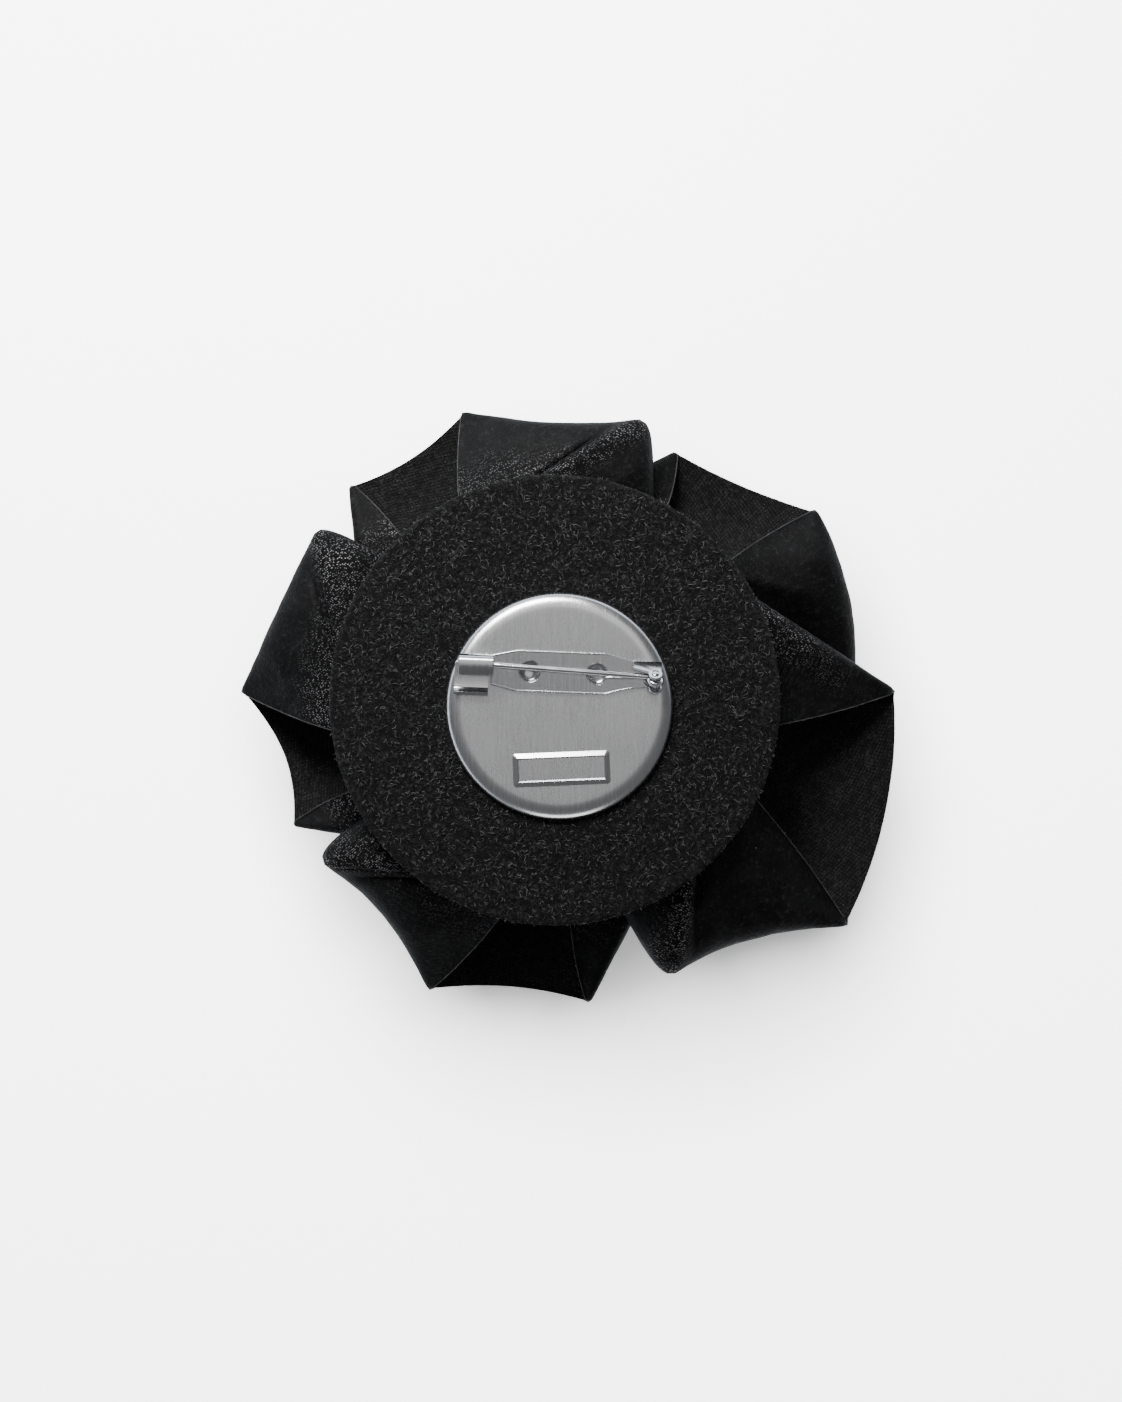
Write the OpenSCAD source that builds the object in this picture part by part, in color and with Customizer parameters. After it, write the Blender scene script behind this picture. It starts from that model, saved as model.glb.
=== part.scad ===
// Fabric rose brooch, lying on its face with its pinned back up.
// Millimetres, +Z up, +Y to the top of the brooch as it is worn from behind.
// The origin is on the ground under the middle of the whole outline.

/* [Rose] */
// Size of the outer petals against the ones measured
petal_scale = 1; // [0.9:0.01:1.05]
// Thickness of every cloth wall
cloth = 1; // [0.8:0.1:1.2]
// Height of the outer petals' sharp corners
tip_z = 17.5; // [16:0.5:19]
// How far the raw rim dips between two sharp corners
rim_dip = 1.5; // [0:0.5:3]
// Height that a rolled fold gains half way along
roll_rise = 1.2; // [0:0.2:2]
// Depth of the crevice beside a pleat
crevice = 1.4; // [0:0.2:2]
// How far a pleat's ridge stands up beside its crevice
ridge = 1.1; // [0:0.1:1.6]

/* [Front rows] */
// Reach of the middle petals from the rose's middle
middle_reach = 31; // [28:0.5:32]
// Reach of the inner petals
inner_reach = 24; // [21:0.5:26]
// Reach of the heart petals
heart_reach = 14; // [13:0.5:15]
// Outer radius of the rolled bud
bud_r = 6.5; // [6:0.5:7]

/* [Felt] */
// Diameter of the felt disc
felt_d = 59.6; // [56:0.2:62]
// Thickness of the felt
felt_h = 1.6; // [1:0.1:2.5]
// Height of the felt's underside above the ground
felt_z = 28.4; // [28:0.1:30]

/* [Metal disc] */
// Diameter of the metal disc
disc_d = 30; // [28:0.5:32]
// Height of the metal disc
disc_h = 1.6; // [1.4:0.1:2]
// Thickness of its sheet
disc_wall = 0.5; // [0.4:0.05:0.7]
// Width of its rounded edge
disc_round = 2.1; // [1.5:0.1:2.6]
// Length of the raised plate
plate_w = 12.9; // [10:0.1:14]
// Width of the raised plate
plate_h = 4.5; // [3:0.1:5]

/* [Bar pin] */
// Thickness of the bar's sheet
bar_t = 0.4; // [0.3:0.05:0.5]
// Radius of the two holes
hole_r = 1.45; // [1:0.05:1.6]
// Radius of the pin wire
wire_r = 0.35; // [0.3:0.01:0.4]
// Height of the wire's middle above the bar
wire_gap = 1.5; // [1.4:0.05:1.6]
// Height of the catch's hood above the bar, under its sheet
hood_gap = 3.4; // [3.3:0.05:3.8]
// Tilt of the hinge's rivet from level
rivet_tilt = 45; // [44:1:50]
// Radius of the rivet
rivet_r = 0.4; // [0.35:0.01:0.42]

/* [Hidden] */
$fn = 64;

// Middle of the felt and of the petals' ring
rose = [-1.9, 1.0];
// Gap left between pieces that are glued or welded face to face
seam = 0.05;
// Height of the metal disc's underside, and of the bar's
disc_z = felt_z + felt_h + seam;
bar_z = disc_z + disc_h + seam;

// Outer petals, a row each, clockwise as seen from behind. Angles are degrees
// round the rose from +X and distances are from its middle. The left fold runs
// from root to tip_l, the raw rim from tip_l to tip_r, the right fold from
// tip_r to pleat and the pleat's edge from pleat to end. tuck_l and tuck_r are
// where the raw edges run in under the felt, ridge is where the pleat's ridge
// does. sag and bow hollow the rim and the right fold. over_l and over_r are 1
// where that side lies over its neighbour. A right side that lies under its
// neighbour has no pleat edge and ends at pleat.
ROOT = 0;
ROOT_R = 1;
TIP_L = 2;
TIP_L_R = 3;
TIP_R = 4;
TIP_R_R = 5;
PLEAT = 6;
PLEAT_R = 7;
END = 8;
END_R = 9;
TUCK_L = 10;
TUCK_R = 11;
RIDGE = 12;
SAG = 13;
BOW = 14;
OVER_L = 15;
OVER_R = 16;
OUTER = [
// root root_r tip_l tip_l_r tip_r tip_r_r pleat pleat_r end end_r tuck_l tuck_r ridge sag bow over_l over_r
  [150, 30.0, 133.4, 39.6, 107.9, 40.3, 73.2, 38.9, 64.5, 29.8, 134, 117, 103, 1.2, 0.9, 0, 1],
  [76, 29.0, 63.7, 37.0, 36.0, 43.0, 6.0, 40.3, 24.0, 28.5, 59, 38.5, 34, 0.6, -1.5, 0, 0],
  [32, 28.5, 1.3, 45.5, -37.4, 49.2, -66.1, 39.7, -71.5, 30.0, -8, -24, -50, -2.2, 1.8, 1, 1],
  [-63, 28.0, -83.9, 40.7, -113.2, 42.2, -144.5, 37.5, -147.5, 30.0, -86, -102, -123, 1.1, 1.6, 0, 1],
  [-140, 29.0, -154.7, 38.8, -181.4, 41.8, -214.6, 38.9, -219.0, 30.5, -155.5, -170, -181, 2.1, -0.1, 0, 1]
];

// How a side of a petal is stacked, for the under side and the over side: the
// heights of its fold at the root, of its raw edge under the felt and of the
// cloth half way to the core, and the radius of its foot
ROOT_Z = 0;
EDGE_Z = 1;
BELLY_Z = 2;
FOOT_R = 3;
STACK = [
// root_z edge_z belly_z foot_r
  [19.2, 21.4, 16.4, 16.6],
  [26.0, 26.9, 23.6, 18.4]
];
// Heights on the right side, for the under and the over side: of its fold where
// it reaches the pleat, of the raw edge and of the ridge under the felt
PLEAT_Z = [15.0, 22.6];
TUCK_Z = [24.8, 26.7];
RIDGE_Z = [20.2, 27.0];
// Height at which every petal's foot ends, just under the felt
foot_z = felt_z - 0.3;
// Radius at which the outer petals' cloth starts to flare
belly_r = 23;
// Radius at which the folded-back cloth ends, under the felt
edge_r = 27;
// How the cloth comes up to a fold: how far below it, for the under and the over
// side, and how far inside it
FOLD_DEEP = [3.2, 1.8];
fold_in = 1.6;
// How high a fold's roll stands: a share of what is folded back, up to a limit
roll_share = 0.35;
roll_max = 2.6;
// Bulge of the folded-back cloth, full where that much cloth is folded back and
// its raw edge lies that much higher than the fold
cuff_bulge = 1.2;
full_gap = 8;
full_rise = 4;
// How far inside and below its end the cloth heads out to an open rim
rim_in = 7;
rim_drop = 0.8;
// Share of the right fold at which its raw edge goes in under the felt
tuck_share = 0.6;
// How far a pleat's edge bulges, and how far it turns in under the felt
pleat_bulge = 0.8;
pleat_turn = 4;
// Where each piece of cloth is cut into sections: along a left fold, a rim, a
// right fold and a pleat's edge
LEFT_STEPS = [0, 0.3, 0.6, 0.85];
RIM_STEPS = [0, 0.25, 0.5, 0.75, 1];
RIGHT_STEPS = [0.12, 0.35, 0.6, 0.8, 0.93];
PLEAT_STEPS = [0, 0.25, 0.6, 1];
// Where a section is cut on its way out to the fold and back from it
OUT_STEPS = [0, 0.25, 0.48, 0.68, 0.83, 0.94, 1];
BACK_STEPS = [0.08, 0.22, 0.4, 0.6, 0.8, 1];

function mix(a, b, t) = a + (b - a) * t;
function smooth(t) = t * t * (3 - 2 * t);
function polar(at, r, z) = [rose.x + r * cos(at), rose.y + r * sin(at), z];
function outward(p) = let(d = [p.x - rose.x, p.y - rose.y]) [d.x, d.y, 0] / norm(d);
function arch(t) = 4 * t * (1 - t);

// A point on a cubic curve through four control points
function curve(c, t) =
    let(s = 1 - t)
    s * s * s * c[0] + 3 * s * s * t * c[1] + 3 * s * t * t * c[2] + t * t * t * c[3];

// A section of a folded sheet: its points on the way out, then on the way back.
// A section with nothing folded back gives its way out alone.
function section(way_out, way_back) = concat(
    [for (t = OUT_STEPS) curve(way_out, t)],
    way_back == undef ? [] : [for (t = BACK_STEPS) curve(way_back, t)]
);

// A petal's foot and belly below a fold at the angle at, stacked between under
// and over by the share
function foot(p, at, share) =
    let(middle = (p[TIP_L] + p[TIP_R]) / 2)
    polar(mix(middle, at, 0.9), mix(STACK[0][FOOT_R], STACK[1][FOOT_R], share), foot_z);
function belly(p, at, share, low) =
    polar(mix((p[TIP_L] + p[TIP_R]) / 2, at, 0.95), belly_r, mix(low, STACK[1][BELLY_Z], share));

// A folded section: the cloth comes out low at the angle at, rolls over at the
// fold f and runs back to the raw edge e. lift raises or sinks what is folded.
function folded(p, f, e, at, share, lift) =
    let(
        out = outward(f),
        gap = norm(e - f),
        deep = mix(FOLD_DEEP[0], FOLD_DEEP[1], share),
        roll = min(roll_max, gap * roll_share),
        bulge = cuff_bulge * min(1, gap / full_gap, (e.z - f.z) / full_rise)
    )
    section(
        [
            foot(p, at, share),
            belly(p, at, share, STACK[0][BELLY_Z] - 1),
            f - out * fold_in - [0, 0, deep],
            f
        ],
        [
            f,
            f + [0, 0, roll] + out * 0.1,
            mix(e, f, 0.45) + [0, 0, bulge + lift],
            e
        ]
    );

// An open section: the cloth runs out to its raw rim f
function open(p, f, at) =
    let(out = outward(f))
    section([
        foot(p, at, 0.5),
        belly(p, at, 0, STACK[0][BELLY_Z]),
        f - out * rim_in - [0, 0, rim_drop],
        f
    ], undef);

function corner(p, at, r, z, inset) = polar(p[at], p[r] * petal_scale - inset, z);

// All sections of an outer petal, from the root of its left fold to the end of
// its pleat
function outer_sections(p) =
    let(
        left = STACK[p[OVER_L]],
        turn = max(p[PLEAT], p[END]),
        root = corner(p, ROOT, ROOT_R, left[ROOT_Z], cloth),
        tip_l = corner(p, TIP_L, TIP_L_R, tip_z, cloth),
        tip_r = corner(p, TIP_R, TIP_R_R, tip_z, cloth),
        pleat = corner(p, PLEAT, PLEAT_R, PLEAT_Z[p[OVER_R]], cloth),
        end = corner(p, END, END_R, mix(RIDGE_Z[0] - 3, STACK[1][ROOT_Z], p[OVER_R]), cloth),
        tuck_l = polar(p[TUCK_L], edge_r, left[EDGE_Z]),
        tuck_r = polar(p[TUCK_R], edge_r, TUCK_Z[p[OVER_R]]),
        ridge_in = polar(p[RIDGE], edge_r, RIDGE_Z[p[OVER_R]]),
        end_in = polar(p[END] + pleat_turn, edge_r - 1, RIDGE_Z[p[OVER_R]])
    )
    concat(
        [for (a = LEFT_STEPS)
            let(f = mix(root, tip_l, a) + [0, 0, roll_rise * arch(a)])
            folded(
                p, f, mix(tuck_l, tip_l, a),
                mix(p[ROOT], p[TIP_L], a), p[OVER_L] * (1 - smooth(a)), 0
            )],
        [for (a = RIM_STEPS)
            let(f = mix(tip_l, tip_r, a))
            open(
                p, f - outward(f) * p[SAG] * arch(a) - [0, 0, rim_dip * arch(a)],
                mix(p[TIP_L], p[TIP_R], a)
            )],
        [for (a = RIGHT_STEPS)
            let(
                straight = mix(tip_r, pleat, a),
                f = straight - outward(straight) * p[BOW] * arch(a) + [0, 0, roll_rise * arch(a)],
                e = a < tuck_share ? mix(tip_r, tuck_r, a / tuck_share)
                    : mix(tuck_r, ridge_in, (a - tuck_share) / (1 - tuck_share))
            )
            folded(
                p, f, e,
                mix(p[TIP_R], turn, a), p[OVER_R] * smooth(a), -crevice * pow(a, 6)
            )],
        [for (a = p[OVER_R] == 1 ? PLEAT_STEPS : [0])
            let(f = mix(pleat, end, a) + outward(pleat) * arch(a) * pleat_bulge)
            folded(
                p, f, mix(ridge_in, end_in, a),
                mix(turn, min(p[END], turn - pleat_turn), a), p[OVER_R], p[OVER_R] * ridge * (1 - a)
            )]
    );

// Petals of the front rows. Each covers an angle span. Its cloth hugs the core
// at the foot, flares past the belly to a raw rim, and its right corner is
// rolled back from a sharp tip. side runs from -1 at the left end to 1 at the
// right end, which lies behind the next petal's left end.
ROW_OPEN = [-1, -0.8, -0.5, -0.2, 0.1, 0.4];
ROW_FOLDED = [0.55, 0.72, 0.88, 1];
// side at which the sharp tip stands
row_tip = 0.4;
// How far a petal's right end stands outside and above its middle, at the foot
// and higher up, so that it clears the next petal's left end
row_foot_lean = 0.7;
row_lean = 0.8;
// How the cloth comes up to a rim and to a fold: how far inside and how much
// above or below
row_rim_in = 5;
row_rim_up = 0.4;
row_fold_in = 2;
row_fold_deep = 2.2;
row_roll_max = 2;
// Where the fold ends: its share of the petal's reach, and how much higher
root_share = 0.84;
root_rise = 2.5;
COUNT = 0;
SPAN = 1;
CORE_R = 2;
BELLY_R = 3;
BELLY_H = 4;
RIM_H = 5;
CUFF = 6;
CUFF_LIFT = 7;
TURN = 8;
ROWS = [
// count span core_r belly_r belly_h rim_h cuff cuff_lift turn
  [5, 84, 13.5, 17.0, 13.0, 8.6, 6.0, 1.0, 20],
  [4, 104, 11.0, 14.5, 10.5, 1.8, 5.0, 0.5, 61],
  [3, 138, 8.5, 9.0, 7.0, 2.9, 3.0, 1.0, 10]
];
MIDDLE = 0;
INNER = 1;
HEART = 2;

function row_foot(row, angle, side) =
    polar(angle, row[CORE_R] + row_foot_lean * side, foot_z);
function row_belly(row, angle, side) =
    polar(angle, row[BELLY_R] + row_lean * side, row[BELLY_H] + row_lean * side);
// The rim's reach falls off at the left end and hollows between the corners
function rim_reach(side) =
    side < -0.5 ? 1 - 0.5 * pow(-0.5 - side, 2) : 1 - 0.025 * arch((side + 0.5) / (row_tip + 0.5));
function row_rim(row, at, reach, side) =
    polar(at - row[SPAN] * side / 2, reach * rim_reach(side) + row_lean * side, row[RIM_H] + row_lean * side);

function row_sections(row, at, reach) =
    let(
        tip = row_rim(row, at, reach, row_tip),
        root = polar(at - row[SPAN] / 2, reach * root_share + row_lean, row[RIM_H] + root_rise + row_lean),
        tuck_r = reach * root_share - row[CUFF] * 0.6,
        slope = (reach - tuck_r) / (reach - row[BELLY_R]),
        tuck_h = mix(row[RIM_H], row[BELLY_H], slope) + row_lean + row[CUFF_LIFT],
        tuck = polar(at - row[SPAN] * 0.3, tuck_r + row_lean, tuck_h)
    )
    concat(
        [for (side = ROW_OPEN)
            let(angle = at - row[SPAN] * side / 2, f = row_rim(row, at, reach, side))
            section([
                row_foot(row, angle, side),
                row_belly(row, angle, side),
                f - outward(f) * row_rim_in + [0, 0, row_rim_up],
                f
            ], undef)],
        [for (side = ROW_FOLDED)
            let(
                angle = at - row[SPAN] * side / 2,
                a = (side - row_tip) / (1 - row_tip),
                f = mix(tip, root, a),
                e = mix(tip, tuck, a),
                roll = min(row_roll_max, norm(e - f) * roll_share)
            )
            section(
                [
                    row_foot(row, angle, side),
                    row_belly(row, angle, side),
                    f - outward(f) * row_fold_in - [0, 0, row_fold_deep],
                    f
                ],
                [
                    f,
                    f + [0, 0, roll],
                    mix(e, f, 0.5) + [0, 0, roll * 0.6],
                    e
                ]
            )]
    );

// A sheet of cloth through sections, thickened on its outer side. Sections may
// be of two lengths: a short one has nothing folded back, and the cloth that is
// folded back beside it narrows to its last point, a sharp tip that is
// thickened straight outward.
function last_of(sections, i, j) = min(j, len(sections[i]) - 1);
function at_grid(sections, i, j) = sections[i][last_of(sections, i, j)];
function is_tip(sections, i, j) =
    let(n = len(sections), here = len(sections[i]))
    j >= here - 1 &&
    (len(sections[max(i - 1, 0)]) > here || len(sections[min(i + 1, n - 1)]) > here);
function sheet_normal(sections, i, j) =
    is_tip(sections, i, j) ? outward(at_grid(sections, i, j)) :
    let(
        n = len(sections),
        k = last_of(sections, i, j),
        along = at_grid(sections, min(i + 1, n - 1), k) - at_grid(sections, max(i - 1, 0), k),
        across = at_grid(sections, i, k + 1) - at_grid(sections, i, max(k - 1, 0)),
        c = cross(across, along)
    )
    c / norm(c);

module sheet(sections, wall) {
    n = len(sections);
    m = max([for (s = sections) len(s)]);
    inner = [for (i = [0:n - 1]) for (j = [0:m - 1]) at_grid(sections, i, j)];
    outer = [for (i = [0:n - 1]) for (j = [0:m - 1])
        at_grid(sections, i, j) + sheet_normal(sections, i, j) * wall];
    function id(i, j) = i * m + last_of(sections, i, j);
    // A four-sided cell as two triangles, less any that has shrunk to a line
    function cell(a, b, c, d) = [
        for (t = [[a, b, c], [a, c, d]])
            if (t[0] != t[1] && t[1] != t[2] && t[2] != t[0]) t
    ];
    front = [for (i = [0:n - 2]) for (j = [0:m - 2])
        each cell(id(i, j + 1), id(i + 1, j + 1), id(i + 1, j), id(i, j))];
    back = [for (t = front) [t[2] + n * m, t[1] + n * m, t[0] + n * m]];
    // The border, walked once round
    border = concat(
        [for (j = [0:m - 2]) id(0, j)],
        [for (i = [0:n - 2]) id(i, m - 1)],
        [for (j = [m - 1:-1:1]) id(n - 1, j)],
        [for (i = [n - 1:-1:1]) id(i, 0)]
    );
    edge = [for (k = [0:len(border) - 1])
        let(a = border[k], b = border[(k + 1) % len(border)])
        each cell(b, a, a + n * m, b + n * m)];
    polyhedron(concat(inner, outer), concat(front, back, edge), 8);
}

module outer_petal(k) color([0.07, 0.07, 0.08]) sheet(outer_sections(OUTER[k - 1]), cloth);

module row_petal(row, k, reach) {
    at = ROWS[row][TURN] - 360 / ROWS[row][COUNT] * (k - 1);
    color([0.06, 0.06, 0.07]) sheet(row_sections(ROWS[row], at, reach), cloth);
}

module middle_petal(k) row_petal(MIDDLE, k, middle_reach);
module inner_petal(k) row_petal(INNER, k, inner_reach);
module heart_petal(k) row_petal(HEART, k, heart_reach);

// Rolled strip: a spiral wall that opens towards the ground
bud_turns = 2.25;
bud_steps = 40;
BUD_LEVELS = [[0, 0.9], [0.4, 0.85], [0.8, 0.95], [1, 1.04]];
module bud() {
    sections = [for (i = [0:bud_steps])
        let(
            turn = i / bud_steps,
            at = -turn * bud_turns * 360,
            r = mix(1.0, bud_r - cloth, pow(turn, 0.9))
        )
        [for (level = BUD_LEVELS)
            polar(at, r * level[1], mix(foot_z, 0.7 + 1.2 * (1 - turn), level[0]))]];
    color([0.06, 0.06, 0.07]) sheet(sections, cloth * 0.8);
}

module felt_disc() color([0.05, 0.05, 0.05])
    translate([rose.x, rose.y, felt_z]) cylinder(d = felt_d, h = felt_h, $fn = 128);

// Pressed disc: a shallow cup with a rounded edge and a raised oblong plate
disc_at = [-1.3, 0.2];
plate_at = [0.3, -8.3];
plate_turn = 2.4;
plate_rise = 0.3;
plate_frame = 0.45;
module back_disc() color([0.75, 0.75, 0.77]) translate([disc_at.x, disc_at.y, disc_z]) {
    rotate_extrude($fn = 128) difference() {
        cup_profile(disc_d / 2, disc_h, disc_round);
        translate([-1, -disc_wall])
            cup_profile(disc_d / 2 - disc_wall + 1, disc_h, disc_round - disc_wall);
    }
    translate([plate_at.x, plate_at.y, disc_h - 0.05]) rotate(plate_turn) difference() {
        cube_plate(plate_w, plate_h, plate_rise + 0.05);
        translate([0, 0, plate_rise * 0.5])
            cube_plate(plate_w - 2 * plate_frame, plate_h - 2 * plate_frame, plate_rise);
    }
}

// Height of the straight wall at the cup's foot
cup_foot = 0.3;
// Half outline of a flat-topped cup of radius r and height h with a rounded edge
module cup_profile(r, h, round_r) intersection() {
    square([r, h]);
    union() {
        square([r - round_r, h]);
        square([r, max(cup_foot, h - round_r)]);
        translate([r - round_r, h - round_r]) circle(round_r, $fn = 48);
    }
}

module cube_plate(w, h, t) translate([-w / 2, -h / 2, 0]) cube([w, h, t]);

// Frame of the bar pin: x along the bar to the hinge, y across it, z up from
// the disc
bar_at = [-1.0, 4.66];
bar_turn = -2.2;
module on_bar() translate([bar_at.x, bar_at.y, bar_z]) rotate(bar_turn) children();

// Half widths of the bar at places along it: place, width
BAR = [
    [-9.3, 2.0], [-5.9, 2.75], [5.9, 2.75], [7.7, 2.2], [9.3, 1.85]
];
hole_at = [-4.2, 4.7];

// Catch, across the bar: the hood's outer wall and lip, and the guard's lip
catch_x = [-13.6, -9.0];
hood_y = 1.95;
hood_lip_y = -0.6;
hood_round = 1.0;
guard_y = -3.5;
guard_h = 1.3;

// Hinge: the wire's coil turns on a rivet that leans over by rivet_tilt, so
// that the wire leaves the catch sideways and up
wire_fit = 0.03;
coil_r = rivet_r + wire_fit + wire_r;
hinge_x = 12.4;
wire_start = [hinge_x, -0.17, bar_t + wire_gap];
coil_drop = [0, sin(rivet_tilt), -cos(rivet_tilt)] * coil_r;
hinge = wire_start - coil_drop;
rivet_way = [0, cos(rivet_tilt), sin(rivet_tilt)];
coil_half = 0.8;
ear_t = 0.4;
// Gap between the coil's end and an ear
ear_gap = 0.25;
ear_in = coil_half + ear_gap;
ear_mid = ear_in + ear_t / 2;
ear_head = 0.95;
// Stretch of the bar that each ear stands on: the tall one and the low one
tall_ear_x = [9.4, 13.2];
low_ear_x = [10.9, 13.2];
// The tall ear stands upright to the height where it leans over to the rivet
tall_ear_y = 1.65;

// Stands its children on the rivet's line, z along it and y down to the bar
module on_rivet() translate(hinge) rotate([-(90 - rivet_tilt), 0, 0]) children();

// Sheet of the bar's thickness along a path in a plane, as wide as the two
// ends of span, bent round the path's points
module bent(path, span) translate([span[0], 0, 0]) rotate([90, 0, 90])
    linear_extrude(span[1] - span[0]) polygon(path);

function arc(at, r, from, to, steps) =
    [for (k = [0:steps]) at + r * [cos(mix(from, to, k / steps)), sin(mix(from, to, k / steps))]];

// The catch's outline across the bar: foot, guard lip, foot again, hood wall,
// rounded shoulder and lip
catch_foot = 0.6;
lip_round = 0.15;
guard_shift = 0.5;
module catch_sheet() {
    top = bar_t + hood_gap;
    foot_y = hood_y - bar_t - catch_foot;
    shoulder = [hood_y - hood_round, top + bar_t - hood_round];
    hood = concat(
        [[foot_y, 0], [hood_y, 0]],
        arc(shoulder, hood_round, 0, 90, 6),
        [[hood_lip_y + 2 * lip_round, top + bar_t], [hood_lip_y, top + bar_t - lip_round], [hood_lip_y, top]],
        arc(shoulder, hood_round - bar_t, 90, 0, 6),
        [[hood_y - bar_t, bar_t], [foot_y, bar_t]]
    );
    bend = [guard_y + guard_h, guard_h];
    guard = concat(
        [[foot_y + 0.1, 0], [guard_y + guard_h, 0]],
        arc(bend, guard_h, -90, -180, 6),
        arc(bend, guard_h - bar_t, -180, -90, 6),
        [[foot_y + 0.1, bar_t]]
    );
    bent(hood, catch_x);
    bent(guard, catch_x - [guard_shift, guard_shift + 0.1]);
}

// An ear square to the rivet, on one side of the coil: a round head and a
// blade of the length low that slopes down towards the bar
module ear(side, low, span) on_rivet() translate([0, 0, side * ear_mid]) {
    cylinder(r = ear_head, h = ear_t, center = true, $fn = 32);
    translate([span[0] - hinge_x, 0.25, -ear_t / 2])
        cube([span[1] - span[0], low - 0.25, ear_t]);
}

module ears() {
    // The tall ear's line meets its upright at this height and length of blade
    blade = (tall_ear_y - hinge.y - ear_mid * rivet_way.y) / cos(90 - rivet_tilt);
    upright = hinge.z + ear_mid * rivet_way.z - blade * sin(90 - rivet_tilt);
    ear(1, blade + ear_t * 0.4, tall_ear_x);
    translate([tall_ear_x[0], tall_ear_y - ear_t / 2, 0])
        cube([tall_ear_x[1] - tall_ear_x[0], ear_t, upright + 0.1]);
    low_blade = (hinge.z - ear_mid * rivet_way.z - bar_t / 2) / sin(90 - rivet_tilt);
    ear(-1, low_blade, low_ear_x);
}

module pin_bar() color([0.72, 0.72, 0.74]) on_bar() difference() {
    union() {
        linear_extrude(bar_t) polygon(concat(
            [for (b = BAR) [b[0], b[1]]],
            [[tall_ear_x[1], tall_ear_y + ear_t / 2], [tall_ear_x[1], -1.4]],
            [for (k = [len(BAR) - 1:-1:0]) [BAR[k][0], -BAR[k][1]]]
        ));
        catch_sheet();
        ears();
    }
    for (x = hole_at) translate([x, 0, -1]) cylinder(r = hole_r, h = 3);
    on_rivet() cylinder(r = rivet_r + 0.02, h = 6, center = true);
}

rivet_head_r = 0.62;
rivet_head_h = 0.25;
module hinge_rivet() color([0.7, 0.7, 0.72]) on_bar() on_rivet() {
    reach = ear_in + ear_t + 0.03;
    cylinder(r = rivet_r, h = 2 * reach, center = true);
    for (side = [-1, 1])
        translate([0, 0, side * (reach + rivet_head_h / 2)])
            cylinder(r = rivet_head_r, h = rivet_head_h, center = true);
}

tail_r = 0.2;
tail_x = [5.9, 10.4];
module spring_tail() color([0.7, 0.7, 0.72]) on_bar()
    translate([tail_x[0], -0.45, bar_t + tail_r + 0.02]) rotate([0, 90, 1])
        cylinder(r = tail_r, h = tail_x[1] - tail_x[0]);

// The wire runs from the coil to the catch. It is a little thinner in the neck
// where it is bent into the coil, and its last stretch is a long point.
wire_end = [-12.6, 0.75, bar_t + wire_gap];
neck_len = 1.3;
neck_r = wire_r - 0.03;
point_len = 4.2;
point_r = 0.06;
module pin_wire() color([0.8, 0.8, 0.82]) on_bar() {
    run = wire_end - wire_start;
    length = norm(run);
    translate(wire_start) rotate([0, 0, atan2(run.y, run.x)]) rotate([0, 90, 0]) {
        cylinder(r1 = neck_r, r2 = wire_r, h = neck_len);
        translate([0, 0, neck_len]) cylinder(r = wire_r, h = length - point_len - neck_len);
        translate([0, 0, length - point_len])
            cylinder(r1 = wire_r, r2 = point_r, h = point_len);
    }
    on_rivet() rotate_extrude() difference() {
        union() {
            for (side = [-1, 1]) translate([coil_r, side * (coil_half - wire_r)]) circle(wire_r);
            translate([rivet_r + wire_fit, -coil_half + 0.1])
                square([0.3, 2 * coil_half - 0.2]);
        }
        square([2 * (rivet_r + wire_fit), 10], center = true);
    }
}

outer_petal(1);  // outer_petal_1
outer_petal(2);  // outer_petal_2
outer_petal(3);  // outer_petal_3
outer_petal(4);  // outer_petal_4
outer_petal(5);  // outer_petal_5
middle_petal(1);  // middle_petal_1
middle_petal(2);  // middle_petal_2
middle_petal(3);  // middle_petal_3
middle_petal(4);  // middle_petal_4
middle_petal(5);  // middle_petal_5
inner_petal(1);  // inner_petal_1
inner_petal(2);  // inner_petal_2
inner_petal(3);  // inner_petal_3
inner_petal(4);  // inner_petal_4
heart_petal(1);  // heart_petal_1
heart_petal(2);  // heart_petal_2
heart_petal(3);  // heart_petal_3
bud();
felt_disc();
back_disc();
pin_bar();
hinge_rivet();
spring_tail();
pin_wire();
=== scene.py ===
import math

import bpy
import numpy as np
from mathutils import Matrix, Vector, noise


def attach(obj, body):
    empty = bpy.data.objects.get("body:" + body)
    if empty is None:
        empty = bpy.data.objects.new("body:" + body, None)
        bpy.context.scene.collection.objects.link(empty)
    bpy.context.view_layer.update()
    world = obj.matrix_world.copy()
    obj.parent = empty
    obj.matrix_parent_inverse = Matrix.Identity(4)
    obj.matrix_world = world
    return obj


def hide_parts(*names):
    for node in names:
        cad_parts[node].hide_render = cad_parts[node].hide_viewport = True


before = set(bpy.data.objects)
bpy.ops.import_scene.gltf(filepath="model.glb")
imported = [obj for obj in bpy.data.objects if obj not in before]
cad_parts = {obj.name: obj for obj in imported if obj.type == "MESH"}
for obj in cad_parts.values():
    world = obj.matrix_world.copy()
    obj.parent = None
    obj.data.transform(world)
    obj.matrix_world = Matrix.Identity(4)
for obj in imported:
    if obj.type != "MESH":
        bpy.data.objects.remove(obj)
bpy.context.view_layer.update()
scene = bpy.context.scene
draw = np.random.default_rng(7)

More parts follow.
